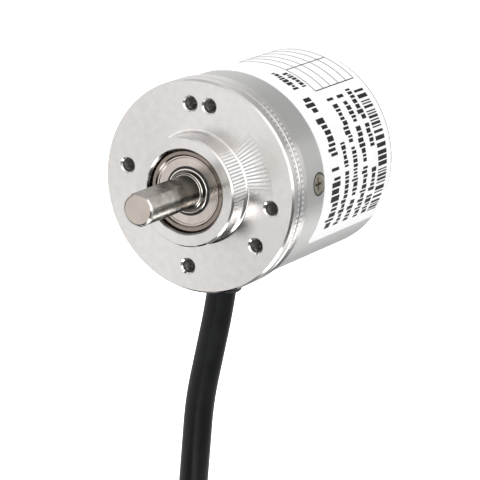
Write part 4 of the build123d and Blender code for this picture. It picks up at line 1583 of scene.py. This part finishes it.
@dataclass
class Studio:
    """Pale floor, white surround, soft lamps and the light bands that metal mirrors."""

    floor_place: float = -205.0
    floor_size: float = 12.0
    plain_level: float = 0.75
    mirror_level: float = 0.88
    # Wide bands come first, because each one lies over those before it.
    bands: tuple[LightBand, ...] = (
        LightBand(Side.BACK, 25.0, 55.0, 0.5, 35.0),
        LightBand(Side.BACK, 66.0, 10.0, 0.8, 10.0),
        LightBand(Side.BACK, 118.0, 18.0, 0.42, 12.0),
        LightBand(Side.BACK, 200.0, 38.0, 0.84, 10.0),
        LightBand(Side.BACK, 147.0, 9.0, 1.4, 6.0),
        LightBand(Side.BACK, 201.0, 7.0, 0.16, 5.0),
        LightBand(Side.FRONT, -35.0, 10.0, 0.62, 10.0),
        LightBand(Side.FRONT, 50.0, 30.0, 1.4, 22.0),
        LightBand(Side.FRONT, 78.0, 7.0, 1.9, 6.0),
        LightBand(Side.FRONT, 116.0, 18.0, 0.16, 12.0),
        LightBand(Side.FRONT, 149.0, 8.0, 4.6, 5.0),
        LightBand(Side.FRONT, 189.0, 26.0, 0.02, 7.0),
        LightBand(Side.FRONT, 241.0, 18.0, 0.95, 8.0),
        LightBand(Side.FRONT, 268.0, 9.0, 1.35, 6.0),
    )

    def build(self) -> None:
        """Makes floor, world and lamps."""
        self.build_floor()
        self.build_world()
        self.add_lamp("key_softbox", (-0.55, -0.75, 0.85), size=0.55, power=7.0)
        self.add_lamp("fill_softbox", (0.9, -0.45, 0.35), size=0.6, power=3.0)
        self.add_lamp("rear_softbox", (0.35, 0.9, 0.7), size=0.6, power=3.0)
        LOG.info("studio set")

    def build_floor(self) -> None:
        """Makes a plain pale floor well below the hanging coil."""
        half = self.floor_size / 2
        low = self.floor_place * MM
        corners = [(-half, -half, low), (half, -half, low), (half, half, low), (-half, half, low)]
        floor = new_mesh("studio_floor", corners, [(0, 1, 2, 3)])
        material = bpy.data.materials.new("pale_painted_floor")
        material.use_nodes = True
        tree = material.node_tree
        tree.nodes.clear()
        path = add_node(tree, "ShaderNodeLightPath").outputs
        matte = add_node(tree, "ShaderNodeBsdfDiffuse", {"Color": linear("#f4f4f3")}).outputs[0]
        white = {"Color": linear("#ffffff")}
        sight = {"Strength": path["Is Camera Ray"]}
        glow = add_node(tree, "ShaderNodeEmission", white, sight).outputs[0]
        lit = add_node(tree, "ShaderNodeAddShader", links={0: matte, 1: glow}).outputs[0]
        clear = add_node(tree, "ShaderNodeBsdfTransparent").outputs[0]
        links = {0: path["Is Glossy Ray"], 1: lit, 2: clear}
        mixed = add_node(tree, "ShaderNodeMixShader", links=links).outputs[0]
        add_node(tree, "ShaderNodeOutputMaterial", links={"Surface": mixed})
        floor.data.materials.append(material)

    def build_world(self) -> None:
        """Makes the surround: white to the camera, plain light, and bands for metal to mirror."""
        world = bpy.data.worlds.new("white_surround")
        bpy.context.scene.world = world
        world.use_nodes = True
        tree = world.node_tree
        tree.nodes.clear()
        sight = add_node(tree, "ShaderNodeTexCoord").outputs["Generated"]
        split = add_node(tree, "ShaderNodeSeparateXYZ", links={0: sight}).outputs
        across = {0: split[0], 2: split[2]}
        flat = add_node(tree, "ShaderNodeCombineXYZ", links=across).outputs[0]
        unit = {"operation": "NORMALIZE"}
        around = add_node(tree, "ShaderNodeVectorMath", unit, {0: flat}).outputs[0]
        level = add_node(tree, "ShaderNodeValue").outputs[0]
        level.default_value = self.mirror_level
        for band in self.bands:
            links = {0: band.mask(tree, around, split[1]), 2: level}
            mix = add_node(tree, "ShaderNodeMix", {"data_type": "FLOAT", 3: band.level}, links)
            level = mix.outputs[0]
        path = add_node(tree, "ShaderNodeLightPath").outputs
        plain = {"data_type": "FLOAT", 2: self.plain_level}
        links = {0: path["Is Glossy Ray"], 3: level}
        seen = add_node(tree, "ShaderNodeMix", plain, links).outputs[0]
        rays = {0: path["Is Camera Ray"], 1: path["Is Transmission Ray"]}
        white = add_node(tree, "ShaderNodeMath", {"operation": "MAXIMUM"}, rays).outputs[0]
        whole = {"data_type": "FLOAT", 3: 1.0}
        final = add_node(tree, "ShaderNodeMix", whole, {0: white, 2: seen}).outputs[0]
        colour = {"Color": linear("#ffffff")}
        backdrop = add_node(tree, "ShaderNodeBackground", colour, {"Strength": final}).outputs[0]
        add_node(tree, "ShaderNodeOutputWorld", links={"Surface": backdrop})

    def add_lamp(self, name: str, place: Spot, size: float, power: float) -> None:
        """Adds one square softbox that faces the object and shows in no metal.

        Args:
            name: Name of the lamp.
            place: Its place in metres.
            size: Side of the box in metres.
            power: Its power in watts.
        """
        data = bpy.data.lights.new(name, "AREA")
        data.size = size
        data.energy = power
        lamp = bpy.data.objects.new(name, data)
        lamp.location = place
        lamp.rotation_euler = (-Vector(place)).to_track_quat("-Z", "Y").to_euler()
        lamp.visible_glossy = False
        bpy.context.scene.collection.objects.link(lamp)


def main() -> None:
    """Builds the camera, the studio and every sub-assembly in order."""
    logging.basicConfig(level=logging.INFO, format="%(name)s: %(message)s")
    bpy.context.scene.view_settings.view_transform = "Standard"
    PhotoCamera().build()
    Cable().build(CableEnd().build())
    Studio().build()
    assemblies = (
        Flange(),
        Housing(),
        Label(),
        Rotor(),
        Bearing(name="front_bearing"),
        Bearing(name="rear_bearing", has_gap_shade_ring=False),
        ReadingHead(),
        Boards(),
    )
    for assembly in assemblies:
        assembly.build()


if __name__ == "__main__":
    main()
